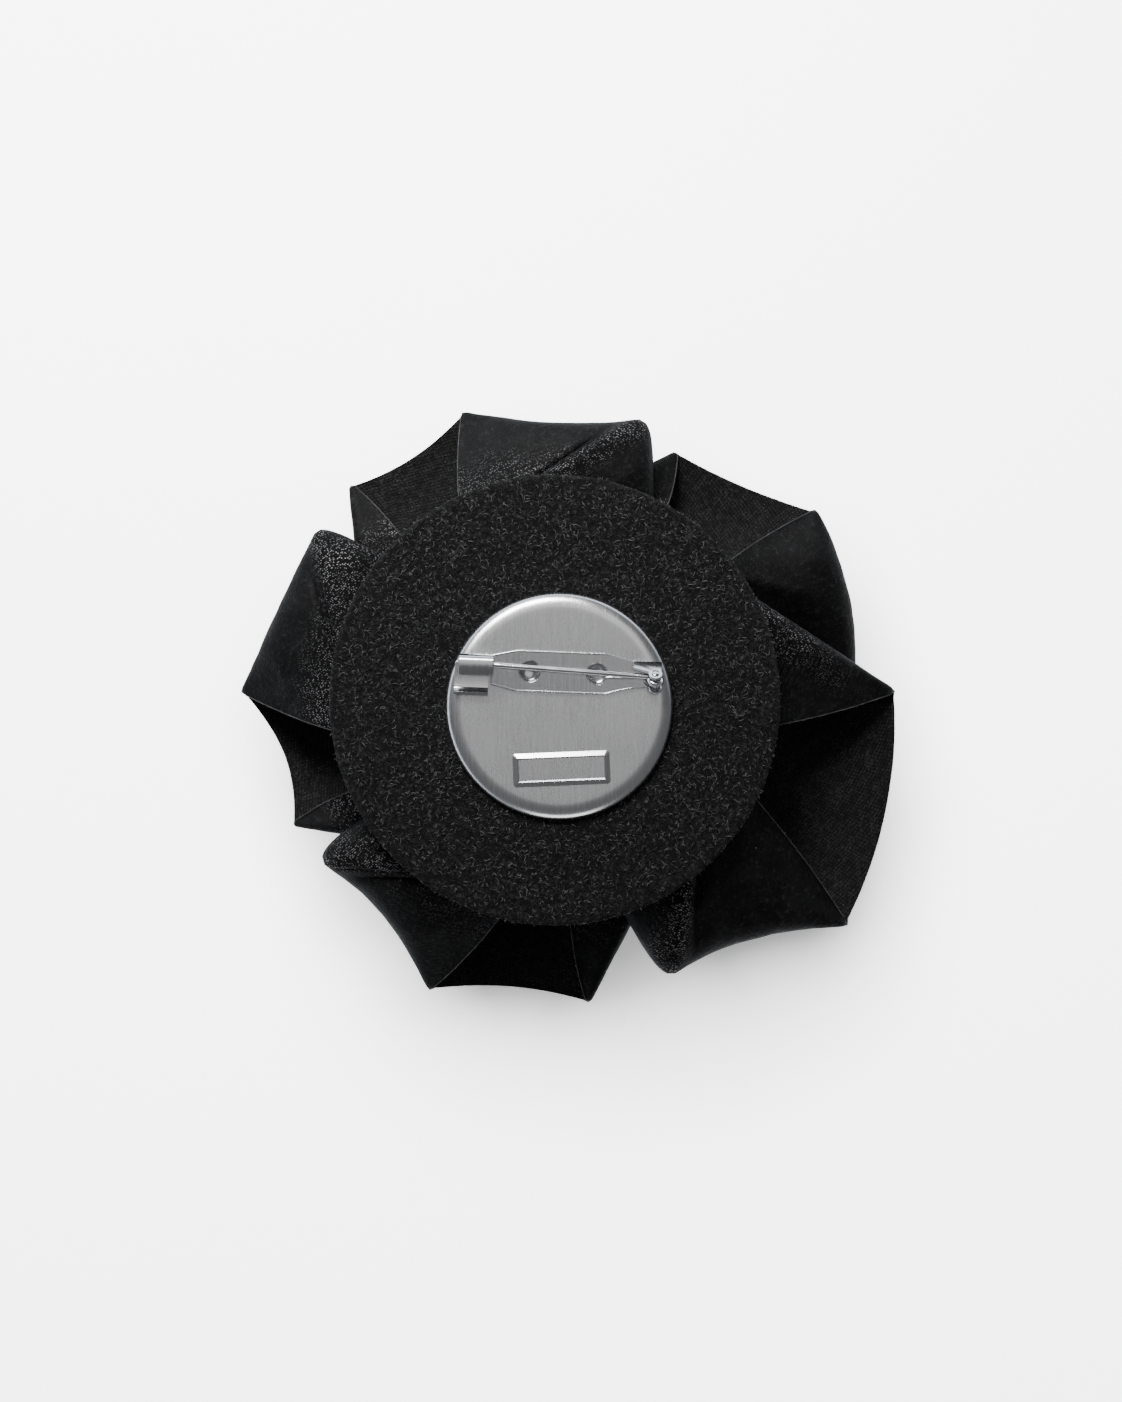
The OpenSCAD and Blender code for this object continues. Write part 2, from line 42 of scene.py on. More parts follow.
# Camera, floor and light
# The rose lies on its face and is seen from straight above its pinned back. A
# long lens far up keeps the upright view that the photo's flat outline has.
MM = 0.001
photo_size = (1122, 1402)
pixel = 0.1327 * MM
origin_pixel = (569, 707.5)
camera_height = 2.0
petal_height = 22 * MM
film = 36

camera = bpy.data.objects.new("camera", bpy.data.cameras.new("camera"))
camera.data.sensor_width = film
camera.data.lens = film * (camera_height - petal_height) / (photo_size[1] * pixel)
camera.data.clip_end = 10
camera.location = (
    (photo_size[0] / 2 - origin_pixel[0]) * pixel,
    (origin_pixel[1] - photo_size[1] / 2) * pixel,
    camera_height,
)
scene.collection.objects.link(camera)
scene.camera = camera


class Tone:
    """A value that varies over a surface, with arithmetic that adds Math nodes."""

    def __init__(self, nodes, socket):
        self.nodes = nodes
        self.socket = socket

    def math(self, operation, *values):
        """This value, and any others, put through a Math node."""
        return self.nodes.node("ShaderNodeMath", {"operation": operation}, [self, *values])

    def __add__(self, other):
        return self.math("ADD", other)

    def __sub__(self, other):
        return self.math("SUBTRACT", other)

    def __rsub__(self, other):
        return self.nodes.node("ShaderNodeMath", {"operation": "SUBTRACT"}, [other, self])

    def __mul__(self, other):
        return self.math("MULTIPLY", other)

    __radd__ = __add__
    __rmul__ = __mul__

    def over(self, low, high):
        """0 at low, 1 at high, level beyond them and smooth between."""
        values = {"Value": self, "From Min": low, "From Max": high}
        return self.nodes.node("ShaderNodeMapRange", {"interpolation_type": "SMOOTHSTEP"}, values)


class Nodes:
    """The nodes of a material or of the sky, added one by one up to its surface."""

    def __init__(self, owner, surface="Principled BSDF"):
        self.owner = owner
        owner.use_nodes = True
        self.tree = owner.node_tree
        self.surface = self.tree.nodes[surface]

    def node(self, kind, settings=None, values=None, out=0):
        """Adds a node: its settings first, then what its sockets hold or are fed by."""
        made = self.tree.nodes.new(kind)
        for name, setting in (settings or {}).items():
            setattr(made, name, setting)
        self.feed(made, values or {})
        return Tone(self, [s for s in made.outputs if s.enabled][out])

    def feed(self, made, values):
        """Sets or links a node's sockets, by name or in their order."""
        shown = [s for s in made.inputs if s.enabled]
        pairs = values.items() if isinstance(values, dict) else enumerate(values)
        for key, value in pairs:
            socket = shown[key] if isinstance(key, int) else next(s for s in shown if s.name == key)
            if isinstance(value, Tone):
                self.tree.links.new(value.socket, socket)
            else:
                socket.default_value = value

    def finish(self, **values):
        """Feeds the surface, with the sockets' names written with underscores."""
        self.feed(self.surface, {name.replace("_", " "): value for name, value in values.items()})
        return self.owner

    def mixed(self, share, first, second):
        """A colour between two."""
        settings = {"data_type": "RGBA"}
        return self.node("ShaderNodeMix", settings, {"Factor": share, "A": first, "B": second})


def grey(level, blue=0.0):
    """A grey with a little more or less blue in it."""
    return (level, level, level * (1 + blue), 1)


floor_mesh = bpy.data.meshes.new("floor")
floor_mesh.from_pydata([(-3, -3, 0), (3, -3, 0), (3, 3, 0), (-3, 3, 0)], [], [(0, 1, 2, 3)])
floor = bpy.data.objects.new("floor", floor_mesh)
scene.collection.objects.link(floor)
paper = Nodes(bpy.data.materials.new("floor_paper"))
floor_mesh.materials.append(paper.finish(
    Base_Color=grey(0.9), Roughness=0.9, Emission_Color=grey(1.0), Emission_Strength=0.4,
))
floor.visible_glossy = False

# The floor has a lamp of its own, so that it is near white while the black cloth
# on it isn't, and it is left out of the gloss, or it would wash the cloth grey.
# Two more light the metal disc alone, for the glints on its rolled edge.
floor_only = bpy.data.collections.new("floor_only")
floor_only.objects.link(floor)
disc_only = bpy.data.collections.new("disc_only")
LAMPS = [
    # name, where from, aimed at, width, watts, beam in degrees, what it lights
    ("softbox_top", (-0.085, 0.275, 0.29), (-0.05, 0.13, 0.02), 0.16, 0.69, 80, None),
    ("fill_above", (0.10, 0.30, 1.20), (0, 0, 0.02), 0.60, 1.0, 180, None),
    ("floor_light", (-0.12, 0.45, 1.06), (0, 0, 0.0), 1.00, 95.0, 180, floor_only),
    ("rim_light", (0.02, -0.50, 0.11), (0, 0, 0.03), 0.30, 0.9, 180, disc_only),
    ("glint_light", (-0.30, 0.36, 0.50), (0, 0, 0.03), 0.16, 1.8, 180, disc_only),
]
for name, place, aim, width, power, beam, lit in LAMPS:
    lamp = bpy.data.objects.new(name, bpy.data.lights.new(name, "AREA"))
    lamp.data.size = width
    lamp.data.energy = power
    lamp.data.spread = math.radians(beam)
    lamp.location = place
    lamp.rotation_mode = "QUATERNION"
    lamp.rotation_quaternion = (Vector(aim) - Vector(place)).to_track_quat("-Z", "Y")
    lamp.light_linking.receiver_collection = lit
    scene.collection.objects.link(lamp)

# Pale walls stand at the top and left and dark ones at the right, the ground far
# off glows as the floor does, and it is dim overhead
pale_way = (-0.62, 0.78, 0.0)
sky = Nodes(bpy.data.worlds.new("studio"), "Background")
way = sky.node("ShaderNodeTexCoord")
height = sky.node("ShaderNodeSeparateXYZ", {}, [way], 2)
toward = sky.node("ShaderNodeVectorMath", {"operation": "DOT_PRODUCT"}, [way, pale_way])
walls = sky.mixed(toward.over(-0.75, 0.5), (0.12, 0.13, 0.14, 1), (2.5, 2.75, 3.05, 1))
ground = sky.mixed(height.over(0.0, -0.2), walls, (1.1, 1.15, 1.2, 1))
scene.world = sky.finish(Color=sky.mixed(height.over(0.32, 0.05), (0.155, 0.158, 0.165, 1), ground))

# Bud
# A strip of the rose's cloth rolled into a loose spiral and glued, its raw top
# edge showing at the middle of the rose's face, on the ground here.
cloth_wall = 0.45
rose = np.array([-1.9, 1.0])
foot_z = 28.1
bud_turns = 2.25
bud_steps = 150
bud_radius = 5.9
BUD_LEVELS = [(0, 0.9), (0.2, 0.865), (0.4, 0.85), (0.6, 0.88), (0.8, 0.95), (0.92, 1.0), (1, 1.04)]
# Soft unevenness of the cloth, in two sizes: how fine, and its share of the reach
CRUMPLES = [(0.16, 1.0), (0.5, 0.35)]
plain_grain = 0.15
cut_flare = 1.35


class Paint(Nodes):
    """A finish of the rose, with the textures that its finishes are made of."""

    def __init__(self, name):
        super().__init__(bpy.data.materials.new(name))

    def bumped(self, height, distance, strength=1.0, under=None):
        """Relief: height times distance in metres, laid over the relief under."""
        values = {"Height": height, "Distance": distance, "Strength": strength}
        if under is not None:
            values["Normal"] = under
        return self.node("ShaderNodeBump", {}, values)

    def on_cloth(self, part=None):
        """Place on the flat cloth in mm, along it (0) or across it (1), how far the
        pressed grain stands out there, with its painted glints and painted shade (2), or all three as a
        vector."""
        vector = self.node("ShaderNodeAttribute", {"attribute_name": "weave"}, out=1)
        return vector if part is None else self.node("ShaderNodeSeparateXYZ", {}, [vector], out=part)

    def flat(self):
        """Place on the flat cloth as a vector in mm."""
        return self.node("ShaderNodeCombineXYZ", {}, [self.on_cloth(0), self.on_cloth(1), 0.0])

    def place(self):
        """Place on the piece as a vector in metres."""
        return self.node("ShaderNodeTexCoord", {}, out=3)

    def noise(self, vector, scale, detail=2.0, roughness=0.5):
        values = {"Vector": vector, "Scale": scale, "Detail": detail, "Roughness": roughness}
        return self.node("ShaderNodeTexNoise", {}, values)

    def stretched(self, vector, scale, turn=0.0):
        """The vector scaled along each axis, after a turn about Z in degrees."""
        values = {"Vector": vector, "Scale": scale, "Rotation": (0, 0, math.radians(turn))}
        return self.node("ShaderNodeMapping", {}, values)

    def strands(self, vector, scale, width, curl=1.2):
        """Thin wandering lines, as loose fibres lie: 1 along them and 0 between."""
        values = {"Vector": vector, "Scale": scale, "Detail": 1.0, "Roughness": 0.4, "Distortion": curl}
        level = self.node("ShaderNodeTexNoise", {}, values)
        return 1 - (level - 0.5).math("ABSOLUTE").over(width * 0.3, width)

    def cells(self, vector, scale, randomness=1.0):
        """Distance from the middle of the nearest of many scattered cells."""
        values = {"Vector": vector, "Scale": scale, "Randomness": randomness}
        return self.node("ShaderNodeTexVoronoi", {}, values)


def right_side_paint():
    """Smooth pressed satin: near black, with a fine pebbled relief and specks of lint.
    Where the grain mask is high, pale dots are painted on the domes as glints and the gaps between are
    darkened as painted shade."""
    paint = Paint("cloth_right_side")
    flat, grain, place = paint.flat(), paint.on_cloth(2), paint.place()
    pebbles = paint.cells(paint.stretched(place, (1.0, 1.3, 1.0), 38), 3100.0, 0.65)
    uneven = paint.noise(place, 500.0, 2.0)
    dome = (1 - pebbles.over(0.15, 0.42)) * (uneven.over(0.35, 0.62) * 0.7 + 0.3)
    cloudy = paint.noise(flat, 0.35, 3.0)
    mat = paint.noise(place, 1500.0, 4.0, 0.75)
    fleck = 1 - paint.cells(flat, 0.42).over(0.012, 0.035)
    dome_gloss_and_painted_glint = grain * dome
    colour = paint.mixed(cloudy.over(0.3, 0.75), grey(0.0015), grey(0.004, 0.06))
    colour = paint.mixed(mat.over(0.52, 0.7) * 0.8, colour, grey(0.016, 0.05))
    # Painted shade and painted glints: where the grain mask is high the base is darkened, and pale dots are
    # painted on the domes where light would catch them
    colour = paint.mixed(grain * 0.8, colour, grey(0.0008))
    colour = paint.mixed(dome_gloss_and_painted_glint, colour, grey(0.18, 0.03))
    colour = paint.mixed(fleck * 0.8, colour, grey(0.22))
    relief = paint.bumped(mat, 0.00025, 0.8)
    relief = paint.bumped(dome, 0.00007, grain * 0.95 + 0.05, relief)
    return paint.finish(
        Base_Color=colour,
        Roughness=0.44 + grain * (1 - dome) * 0.3 - dome_gloss_and_painted_glint * 0.12,
        Coat_Weight=dome_gloss_and_painted_glint * 0.5,
        Coat_Roughness=0.22,
        Specular_IOR_Level=0.10,
        Sheen_Weight=0.018,
        Sheen_Roughness=0.35,
        Sheen_Tint=grey(0.75, 0.08),
        Normal=relief,
    )


def wrong_side_paint():
    """Knitted, fleecy back of the cloth: rows of loops under short pale hairs."""
    paint = Paint("cloth_wrong_side")
    flat, along, across = paint.flat(), paint.on_cloth(0), paint.on_cloth(1)
    bend = paint.noise(flat, 0.9, 3.0)
    row = (across * 15.0 + along * 5.0 + bend * 9.0).math("SINE")
    loop = (along * 17.0 + row * 0.8).math("SINE")
    knit = row * 0.28 + loop * 0.22 + 0.5
    hair = paint.noise(paint.stretched(flat, (1.0, 2.2, 1.0), 25), 2.3, 3.0, 0.6)
    patch = paint.noise(flat, 0.4).over(0.35, 0.65)
    strand = paint.strands(flat, 1.9, 0.05) * (patch * 0.7 + 0.3)
    fleck = 1 - paint.cells(flat, 1.1).over(0.03, 0.075)
    matted = paint.noise(flat, 1.1, 3.0).over(0.42, 0.62)
    colour = paint.mixed(knit.over(0.42, 0.85) * (matted * 0.8 + 0.2), grey(0.0008), grey(0.02, 0.04))
    colour = paint.mixed(strand * 0.6, colour, grey(0.035))
    colour = paint.mixed(fleck * 0.7, colour, grey(0.13))
    relief = paint.bumped(knit, 0.00008, 0.7)
    relief = paint.bumped(hair, 0.00006, 0.5, relief)
    return paint.finish(
        Base_Color=colour,
        Roughness=0.82,
        Specular_IOR_Level=0.15,
        Sheen_Weight=0.03,
        Sheen_Roughness=0.6,
        Normal=relief,
    )


def raw_edge_paint():
    """Cut edge, where the cloth's grey core and its loose ends show."""
    paint = Paint("cloth_raw_edge")
    patchy = paint.noise(paint.on_cloth(), 4.0, 3.0, 0.7)
    colour = paint.mixed(patchy.over(0.35, 0.65), grey(0.02), grey(0.075))
    return paint.finish(Base_Color=colour, Roughness=0.9, Normal=paint.bumped(patchy, 0.00005))


CLOTH = [right_side_paint(), wrong_side_paint(), raw_edge_paint()]
RIGHT, WRONG, EDGE = range(3)


def mix(a, b, share):
    return a + (b - a) * share


def polar(angle, reach, height):
    """A point in mm, round the rose's middle."""
    turn = math.radians(angle)
    return np.array([rose[0] + reach * math.cos(turn), rose[1] + reach * math.sin(turn), height])


def new_piece(name, vertices, faces, paints, kinds=None, smooth_to=50):
    """A mesh from points in mm, with a material for each kind of face."""
    mesh = bpy.data.meshes.new(name)
    mesh.from_pydata([tuple(v) for v in np.asarray(vertices) * MM], [], faces)
    for paint in paints:
        mesh.materials.append(paint)
    if kinds is not None:
        mesh.polygons.foreach_set("material_index", kinds)
    mesh.polygons.foreach_set("use_smooth", [True] * len(mesh.polygons))
    mesh.set_sharp_from_angle(angle=math.radians(smooth_to))
    mesh.update()
    piece = bpy.data.objects.new(name, mesh)
    scene.collection.objects.link(piece)
    return piece


def crumpled(points, normals, size, reach):
    """Points moved along their normals by soft noise of that reach."""
    lift = np.array([noise.noise(Vector(p) * size) for p in points])
    return points + normals * (lift * reach)[:, None]


def even_rows(sections):
    """Sections as one array, the short ones filled up with their last point."""
    columns = max(len(s) for s in sections)
    return np.array([s[np.minimum(np.arange(columns), len(s) - 1)] for s in sections])


def faced(points, cells):
    """The way a sheet faces at each point, and the crossed diagonals of its cells."""
    crossed = np.cross(points[cells[:, 2]] - points[cells[:, 0]], points[cells[:, 3]] - points[cells[:, 1]])
    facing = np.zeros_like(points)
    for corner in range(4):
        np.add.at(facing, cells[:, corner], crossed)
    return facing / np.maximum(np.linalg.norm(facing, axis=1), 1e-9)[:, None], crossed


def cloth_sheet(name, sections, grain=plain_grain, crumple=0.12):
    """A sheet through sections of points, wrong side first, as a thin closed wall.
    A short section has nothing folded back, and its last point is a sharp tip."""
    grid = even_rows(sections)
    rows, columns = grid.shape[:2]
    last = np.array([len(s) - 1 for s in sections])
    ids = np.arange(rows)[:, None] * columns + np.minimum(np.arange(columns), last[:, None])
    cells = np.stack([ids[:-1, :-1], ids[:-1, 1:], ids[1:, 1:], ids[1:, :-1]], -1).reshape(-1, 4)
    flat = grid.reshape(-1, 3)
    facing = faced(flat, cells)[0]
    for size, share in CRUMPLES:
        flat = crumpled(flat, facing, size, crumple * share)
    facing, crossed = faced(flat, cells)
    facing = facing[ids.ravel()]
    flat = flat[ids.ravel()]
    border = [*ids[0, :-1], *ids[:-1, -1], *ids[-1, :0:-1], *ids[:0:-1, 0]]
    count = rows * columns
    faces, kinds = [], []

    def add(corners, kind):
        seen = list(dict.fromkeys(int(v) for v in corners))
        if len(seen) > 2:
            faces.append(seen)
            kinds.append(kind)

    for cell in cells:
        add(cell[::-1], WRONG)
        add(cell + count, RIGHT)
    for start, end in zip(border, border[1:] + border[:1]):
        if start != end:
            add([end + count, start + count, start, end], EDGE)

    # Place on the flat cloth, for the materials, the grain mask (which also sets the painted glints and
    # painted shade), and the size it is cut to
    weave = np.zeros((rows, columns, 3))
    weave[1:, :, 0] = np.cumsum(np.linalg.norm(np.diff(grid[:, columns // 3], axis=0), axis=1))[:, None]
    weave[:, 1:, 1] = np.cumsum(np.linalg.norm(np.diff(grid, axis=1), axis=2), 1)
    weave[:, :, 2] = grain
    along, across = weave[-1, 0, 0], weave[:, :, 1].max()
    area = np.linalg.norm(crossed, axis=1).sum() / 2
    weave = weave.reshape(-1, 3)[ids.ravel()]
    used = np.unique(np.concatenate([np.array(f) for f in faces]))
    number = np.full(2 * count, -1)
    number[used] = np.arange(len(used))
    points = np.concatenate([flat, flat + facing * cloth_wall])[used]
    piece = new_piece(name, points, [[int(number[v]) for v in f] for f in faces], CLOTH, kinds)
    layer = piece.data.attributes.new("weave", "FLOAT_VECTOR", "POINT")
    layer.data.foreach_set("vector", np.concatenate([weave, weave])[used].ravel())
    piece["cut_mm"] = [float(along) * cut_flare, float(across), float(area)]
    piece["border_mm"] = [float(v) for i in border for v in flat[i] + facing[i] * cloth_wall / 2]
    piece["border_out"] = [float(v) for i in border for v in facing[i]]
    return piece


def fixed(piece, node=None):
    """Fixes a piece on the rose, and hides the CAD node that it stands for, if any."""
    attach(piece, "rose")
    if node:
        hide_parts(node)


def worn_in_rose(piece, node):
    """Fixes a cloth piece, and works out its flat size and area, which nothing uses."""
    fixed(piece, node)
    width, length, area = piece["cut_mm"]
    flat = (width * MM, length * MM)
    area = min(area * MM * MM, flat[0] * flat[1])


bud_sections = []
for k in range(bud_steps + 1):
    turn = k / bud_steps
    reach = mix(1.0, bud_radius, turn ** 0.9)
    low = 0.7 + 1.2 * (1 - turn)
    points = [polar(-turn * bud_turns * 360, reach * r, mix(foot_z, low, h)) for h, r in BUD_LEVELS]
    bud_sections.append(np.array(points))
worn_in_rose(cloth_sheet("rolled_bud", bud_sections, crumple=0.06), "bud")

# Heart, inner and middle petals
# Three rows of petals glued round the bud. Each is one cut of cloth that hugs
# the core, flares to a raw rim and has its right corner rolled back over itself.
ROWS = {
    # name: count, turn, span, core_r, belly_r, belly_h, rim_h, cuff, cuff_lift, reach
    "heart": (3, 10, 138, 8.5, 9.0, 7.0, 2.9, 3.0, 1.0, 14),
    "inner": (4, 61, 104, 11.0, 14.5, 10.5, 1.8, 5.0, 0.5, 24),
    "middle": (5, 20, 84, 13.5, 17.0, 13.0, 8.6, 6.0, 1.0, 31),
}
row_tip = 0.4
root_share = 0.84
row_lean = 0.8
row_foot_lean = 0.7
OUT_STEPS = np.linspace(0, 1, 26)
BACK_STEPS = np.linspace(0, 1, 20)[1:]
ROW_OPEN = np.linspace(-1, row_tip, 40)
ROW_FOLDED = np.linspace(row_tip, 1, 22)[1:]


def curve(controls, steps):
    """Points on a cubic curve through four control points."""
    t = np.asarray(steps)[:, None]
    a, b, c, d = [np.asarray(p, float) for p in controls]
    return (1 - t) ** 3 * a + 3 * (1 - t) ** 2 * t * b + 3 * (1 - t) * t * t * c + t ** 3 * d


def section(way_out, way_back=None):
    """Points on the way out to a fold or rim, then on the way back."""
    out = curve(way_out, OUT_STEPS)
    return out if way_back is None else np.vstack([out, curve(way_back, BACK_STEPS)])


def outward(point):
    """Level and straight away from the rose's middle."""
    flat = np.array([point[0] - rose[0], point[1] - rose[1], 0])
    return flat / np.linalg.norm(flat)


def arch(share):
    return 4 * share * (1 - share)


up = np.array([0.0, 0.0, 1.0])


def row_sections(at, span, core_r, belly_r, belly_h, rim_h, cuff, cuff_lift, reach):
    def rim(side):
        if side < -0.5:
            fall = 1 - 0.5 * (-0.5 - side) ** 2
        else:
            fall = 1 - 0.025 * arch((side + 0.5) / (row_tip + 0.5))
        wave = 0.25 * math.sin(side * 9 + at)
        return polar(at - span * side / 2, reach * fall + row_lean * side, rim_h + row_lean * side + wave)

    tip = rim(row_tip)
    root = polar(at - span / 2, reach * root_share + row_lean, rim_h + 2.5 + row_lean)
    tuck_r = reach * root_share - cuff * 0.6
    slope = (reach - tuck_r) / (reach - belly_r)
    tuck_h = mix(rim_h, belly_h, slope) + row_lean + cuff_lift
    tuck = polar(at - span * 0.3, tuck_r + row_lean, tuck_h)
    sections = []
    for side in [*ROW_OPEN, *ROW_FOLDED]:
        angle = at - span * side / 2
        foot = polar(angle, core_r + row_foot_lean * side, foot_z)
        belly = polar(angle, belly_r + row_lean * side, belly_h + row_lean * side)
        if side <= row_tip:
            edge = rim(side)
            sections.append(section([foot, belly, edge - outward(edge) * 5 + up * 0.4, edge]))
        else:
            share = (side - row_tip) / (1 - row_tip)
            fold, edge = mix(tip, root, share), mix(tip, tuck, share)
            roll = min(2, np.linalg.norm(edge - fold) * 0.35)
            sections.append(section(
                [foot, belly, fold - outward(fold) * 2 - up * 2.2, fold],
                [fold, fold + up * roll, mix(edge, fold, 0.5) + up * roll * 0.6, edge],
            ))
    return sections


petals = []
for row, (count, turn, *shape) in ROWS.items():
    for k in range(count):
        sections = row_sections(turn - 360 / count * k, *shape)
        petal = cloth_sheet(f"{row}_petal_{k + 1}_cloth", sections)
        worn_in_rose(petal, f"{row}_petal_{k + 1}")
        petals.append(petal)

# Outer petals
# Five big cuts of the same cloth. Each comes out from under the felt, rolls over
# at its upper corners and runs back in, so that it shows its raw rim between two
# sharp corners, the smooth cuffs beside them and a puffed pleat on its right.
OUTER = [
    # root root_r tip_l tip_l_r tip_r tip_r_r pleat pleat_r end end_r, in degrees and mm
    # tuck_l tuck_r ridge sag bow over_l over_r crease near pull
    ((150, 30.0, 133.4, 39.6, 107.9, 40.3, 73.2, 38.9, 64.5, 29.8),
     (134, 117, 103, 1.2, 0.9, 0, 1, 0.0, 0.55, 0.12)),
    ((76, 29.0, 63.7, 37.0, 36.0, 43.0, 6.0, 40.3, 24.0, 28.5),
     (59, 38.5, 34, 0.6, -1.5, 0, 0, 0.5, 0.08, 0.0)),
    ((32, 28.5, 1.3, 45.5, -37.4, 49.2, -66.1, 39.7, -71.5, 30.0),
     (-8, -24, -50, -2.2, 1.8, 1, 1, 0.2, 0.08, 0.35)),
    ((-63, 28.0, -83.9, 40.7, -113.2, 42.2, -144.5, 37.5, -147.5, 30.0),
     (-86, -102, -123, 1.1, 1.6, 0, 1, 2.5, 0.3, 0.6)),
    ((-140, 29.0, -154.7, 38.8, -181.4, 41.8, -214.6, 38.9, -219.0, 30.5),
     (-155.5, -170, -181, 2.1, -0.1, 0, 1, 5.0, 0.9, 1.0)),
]
# Heights of the fold at the root, of the raw edge under the felt and of the cloth
# half way to the core, and the foot's radius: first under a neighbour, then over it
STACK = [(19.2, 21.4, 16.4, 16.6), (26.0, 26.9, 23.6, 18.4)]
PLEAT_Z = (15.0, 21.4)
TUCK_Z = (24.8, 26.7)
RIDGE_Z = (20.2, 27.0)
tip_z = 17.5
rim_dip = 1.5
roll_rise = 1.2
cuff_bulge = 0.6
cuff_roll = 4.5
cut_bow = 0.5
tuck_share = 0.6
crest_lift = 3.2
crevice = 2.2
crevice_at = 0.88
crevice_width = 0.05
crease_width = 0.04
pleat_fall = 1.0
pleat_end_z = 23.8
pleat_swell = 0.9
belly_r = 23
edge_r = 27
near_reach = 35.0
near_width = 4.0
LEFT_STEPS = np.linspace(0, 1, 34)[:-1]
RIM_STEPS = np.linspace(0, 1, 44)
RIGHT_STEPS = np.linspace(0, 1, 46)[1:-1]
PLEAT_STEPS = np.linspace(0, 1, 20)


def smooth(share):
    return share * share * (3 - 2 * share)


def outer_sections(corners, folds):
    root_a, root_r, tip_l_a, tip_l_r, tip_r_a, tip_r_r, pleat_a, pleat_r, end_a, end_r = corners
    tuck_l_a, tuck_r_a, ridge_a, sag, bow, over_l, over_r, crease = folds[:8]
    root_z, edge_z = STACK[over_l][:2]
    turn = max(pleat_a, end_a)
    middle = (tip_l_a + tip_r_a) / 2
    root = polar(root_a, root_r - cloth_wall, root_z)
    tip_l = polar(tip_l_a, tip_l_r - cloth_wall, tip_z)
    tip_r = polar(tip_r_a, tip_r_r - cloth_wall, tip_z)
    pleat = polar(pleat_a, pleat_r - cloth_wall, PLEAT_Z[over_r])
    end = polar(end_a, end_r - cloth_wall, mix(RIDGE_Z[0] - 3, pleat_end_z, over_r))
    tuck_l = polar(tuck_l_a, edge_r, edge_z)
    tuck_r = polar(tuck_r_a, edge_r, TUCK_Z[over_r])
    ridge_in = polar(ridge_a, edge_r, RIDGE_Z[over_r])
    end_in = polar(end_a + 4, edge_r - 1, RIDGE_Z[over_r])

    def cut_way(start, end):
        """Level and square to a cuff's cut edge, away from its fold."""
        way = np.cross(end - start, up)
        return way / np.linalg.norm(way)

    def foot(at, share):
        return polar(mix(middle, at, 0.9), mix(STACK[0][3], STACK[1][3], share), foot_z)

    def belly(at, share, low):
        return polar(mix(middle, at, 0.95), belly_r, mix(low, STACK[1][2], share))

    def folded(fold, edge, at, share, lift):
        out, gap = outward(fold), np.linalg.norm(edge - fold)
        roll = min(cuff_roll, gap * 0.35)
        rise = cuff_bulge * min(1, gap / 8, (edge[2] - fold[2]) / 4) + lift
        way_out = fold - out * 1.6 - up * mix(3.2, 1.8, share)
        way_back = mix(edge, fold, 0.45) + up * rise
        return section(
            [foot(at, share), belly(at, share, STACK[0][2] - 1), way_out, fold],
            [fold, fold + up * roll + out * 0.1, way_back, edge],
        )

    sections = []
    for a in LEFT_STEPS:
        fold = mix(root, tip_l, a) + up * roll_rise * arch(a)
        at = mix(root_a, tip_l_a, a)
        edge = mix(tuck_l, tip_l, a) + cut_way(tuck_l, tip_l) * cut_bow * arch(a)
        sections.append(folded(fold, edge, at, over_l * (1 - smooth(a)), 0))
    for a in RIM_STEPS:
        rim = mix(tip_l, tip_r, a)
        rim = rim - outward(rim) * sag * arch(a) - up * rim_dip * arch(a)
        at = mix(tip_l_a, tip_r_a, a)
        low_belly = belly(at, 0, STACK[0][2])
        sections.append(section([foot(at, 0.5), low_belly, rim - outward(rim) * 7 - up * 0.8, rim]))
    for a in RIGHT_STEPS:
        straight = mix(tip_r, pleat, a)
        fold = straight - outward(straight) * bow * arch(a) + up * roll_rise * arch(a)
        if a < tuck_share:
            edge = mix(tip_r, tuck_r, a / tuck_share)
            edge = edge + cut_way(tip_r, tuck_r) * cut_bow * arch(a / tuck_share)
        else:
            edge = mix(tuck_r, ridge_in, (a - tuck_share) / (1 - tuck_share))
        dip = crevice * math.exp(-((a - crevice_at) / crevice_width) ** 2)
        lift = over_r * (crest_lift * a ** 5 - dip)
        lift -= crease * math.exp(-((1 - a) / crease_width) ** 2)
        sections.append(folded(fold, edge, mix(tip_r_a, turn, a), over_r * smooth(a), lift))
    beside = np.cross(up, end - pleat)
    beside /= np.linalg.norm(beside)
    for a in PLEAT_STEPS if over_r else [0]:
        fold = mix(pleat, end, a) + beside * arch(math.sqrt(a)) * pleat_swell
        at = mix(turn, min(end_a, turn - 4), a)
        lift = over_r * mix(-pleat_fall, crest_lift, (1 - a) ** 1.6)
        sections.append(folded(fold, mix(ridge_in, end_in, a), at, over_r, lift))
    return sections


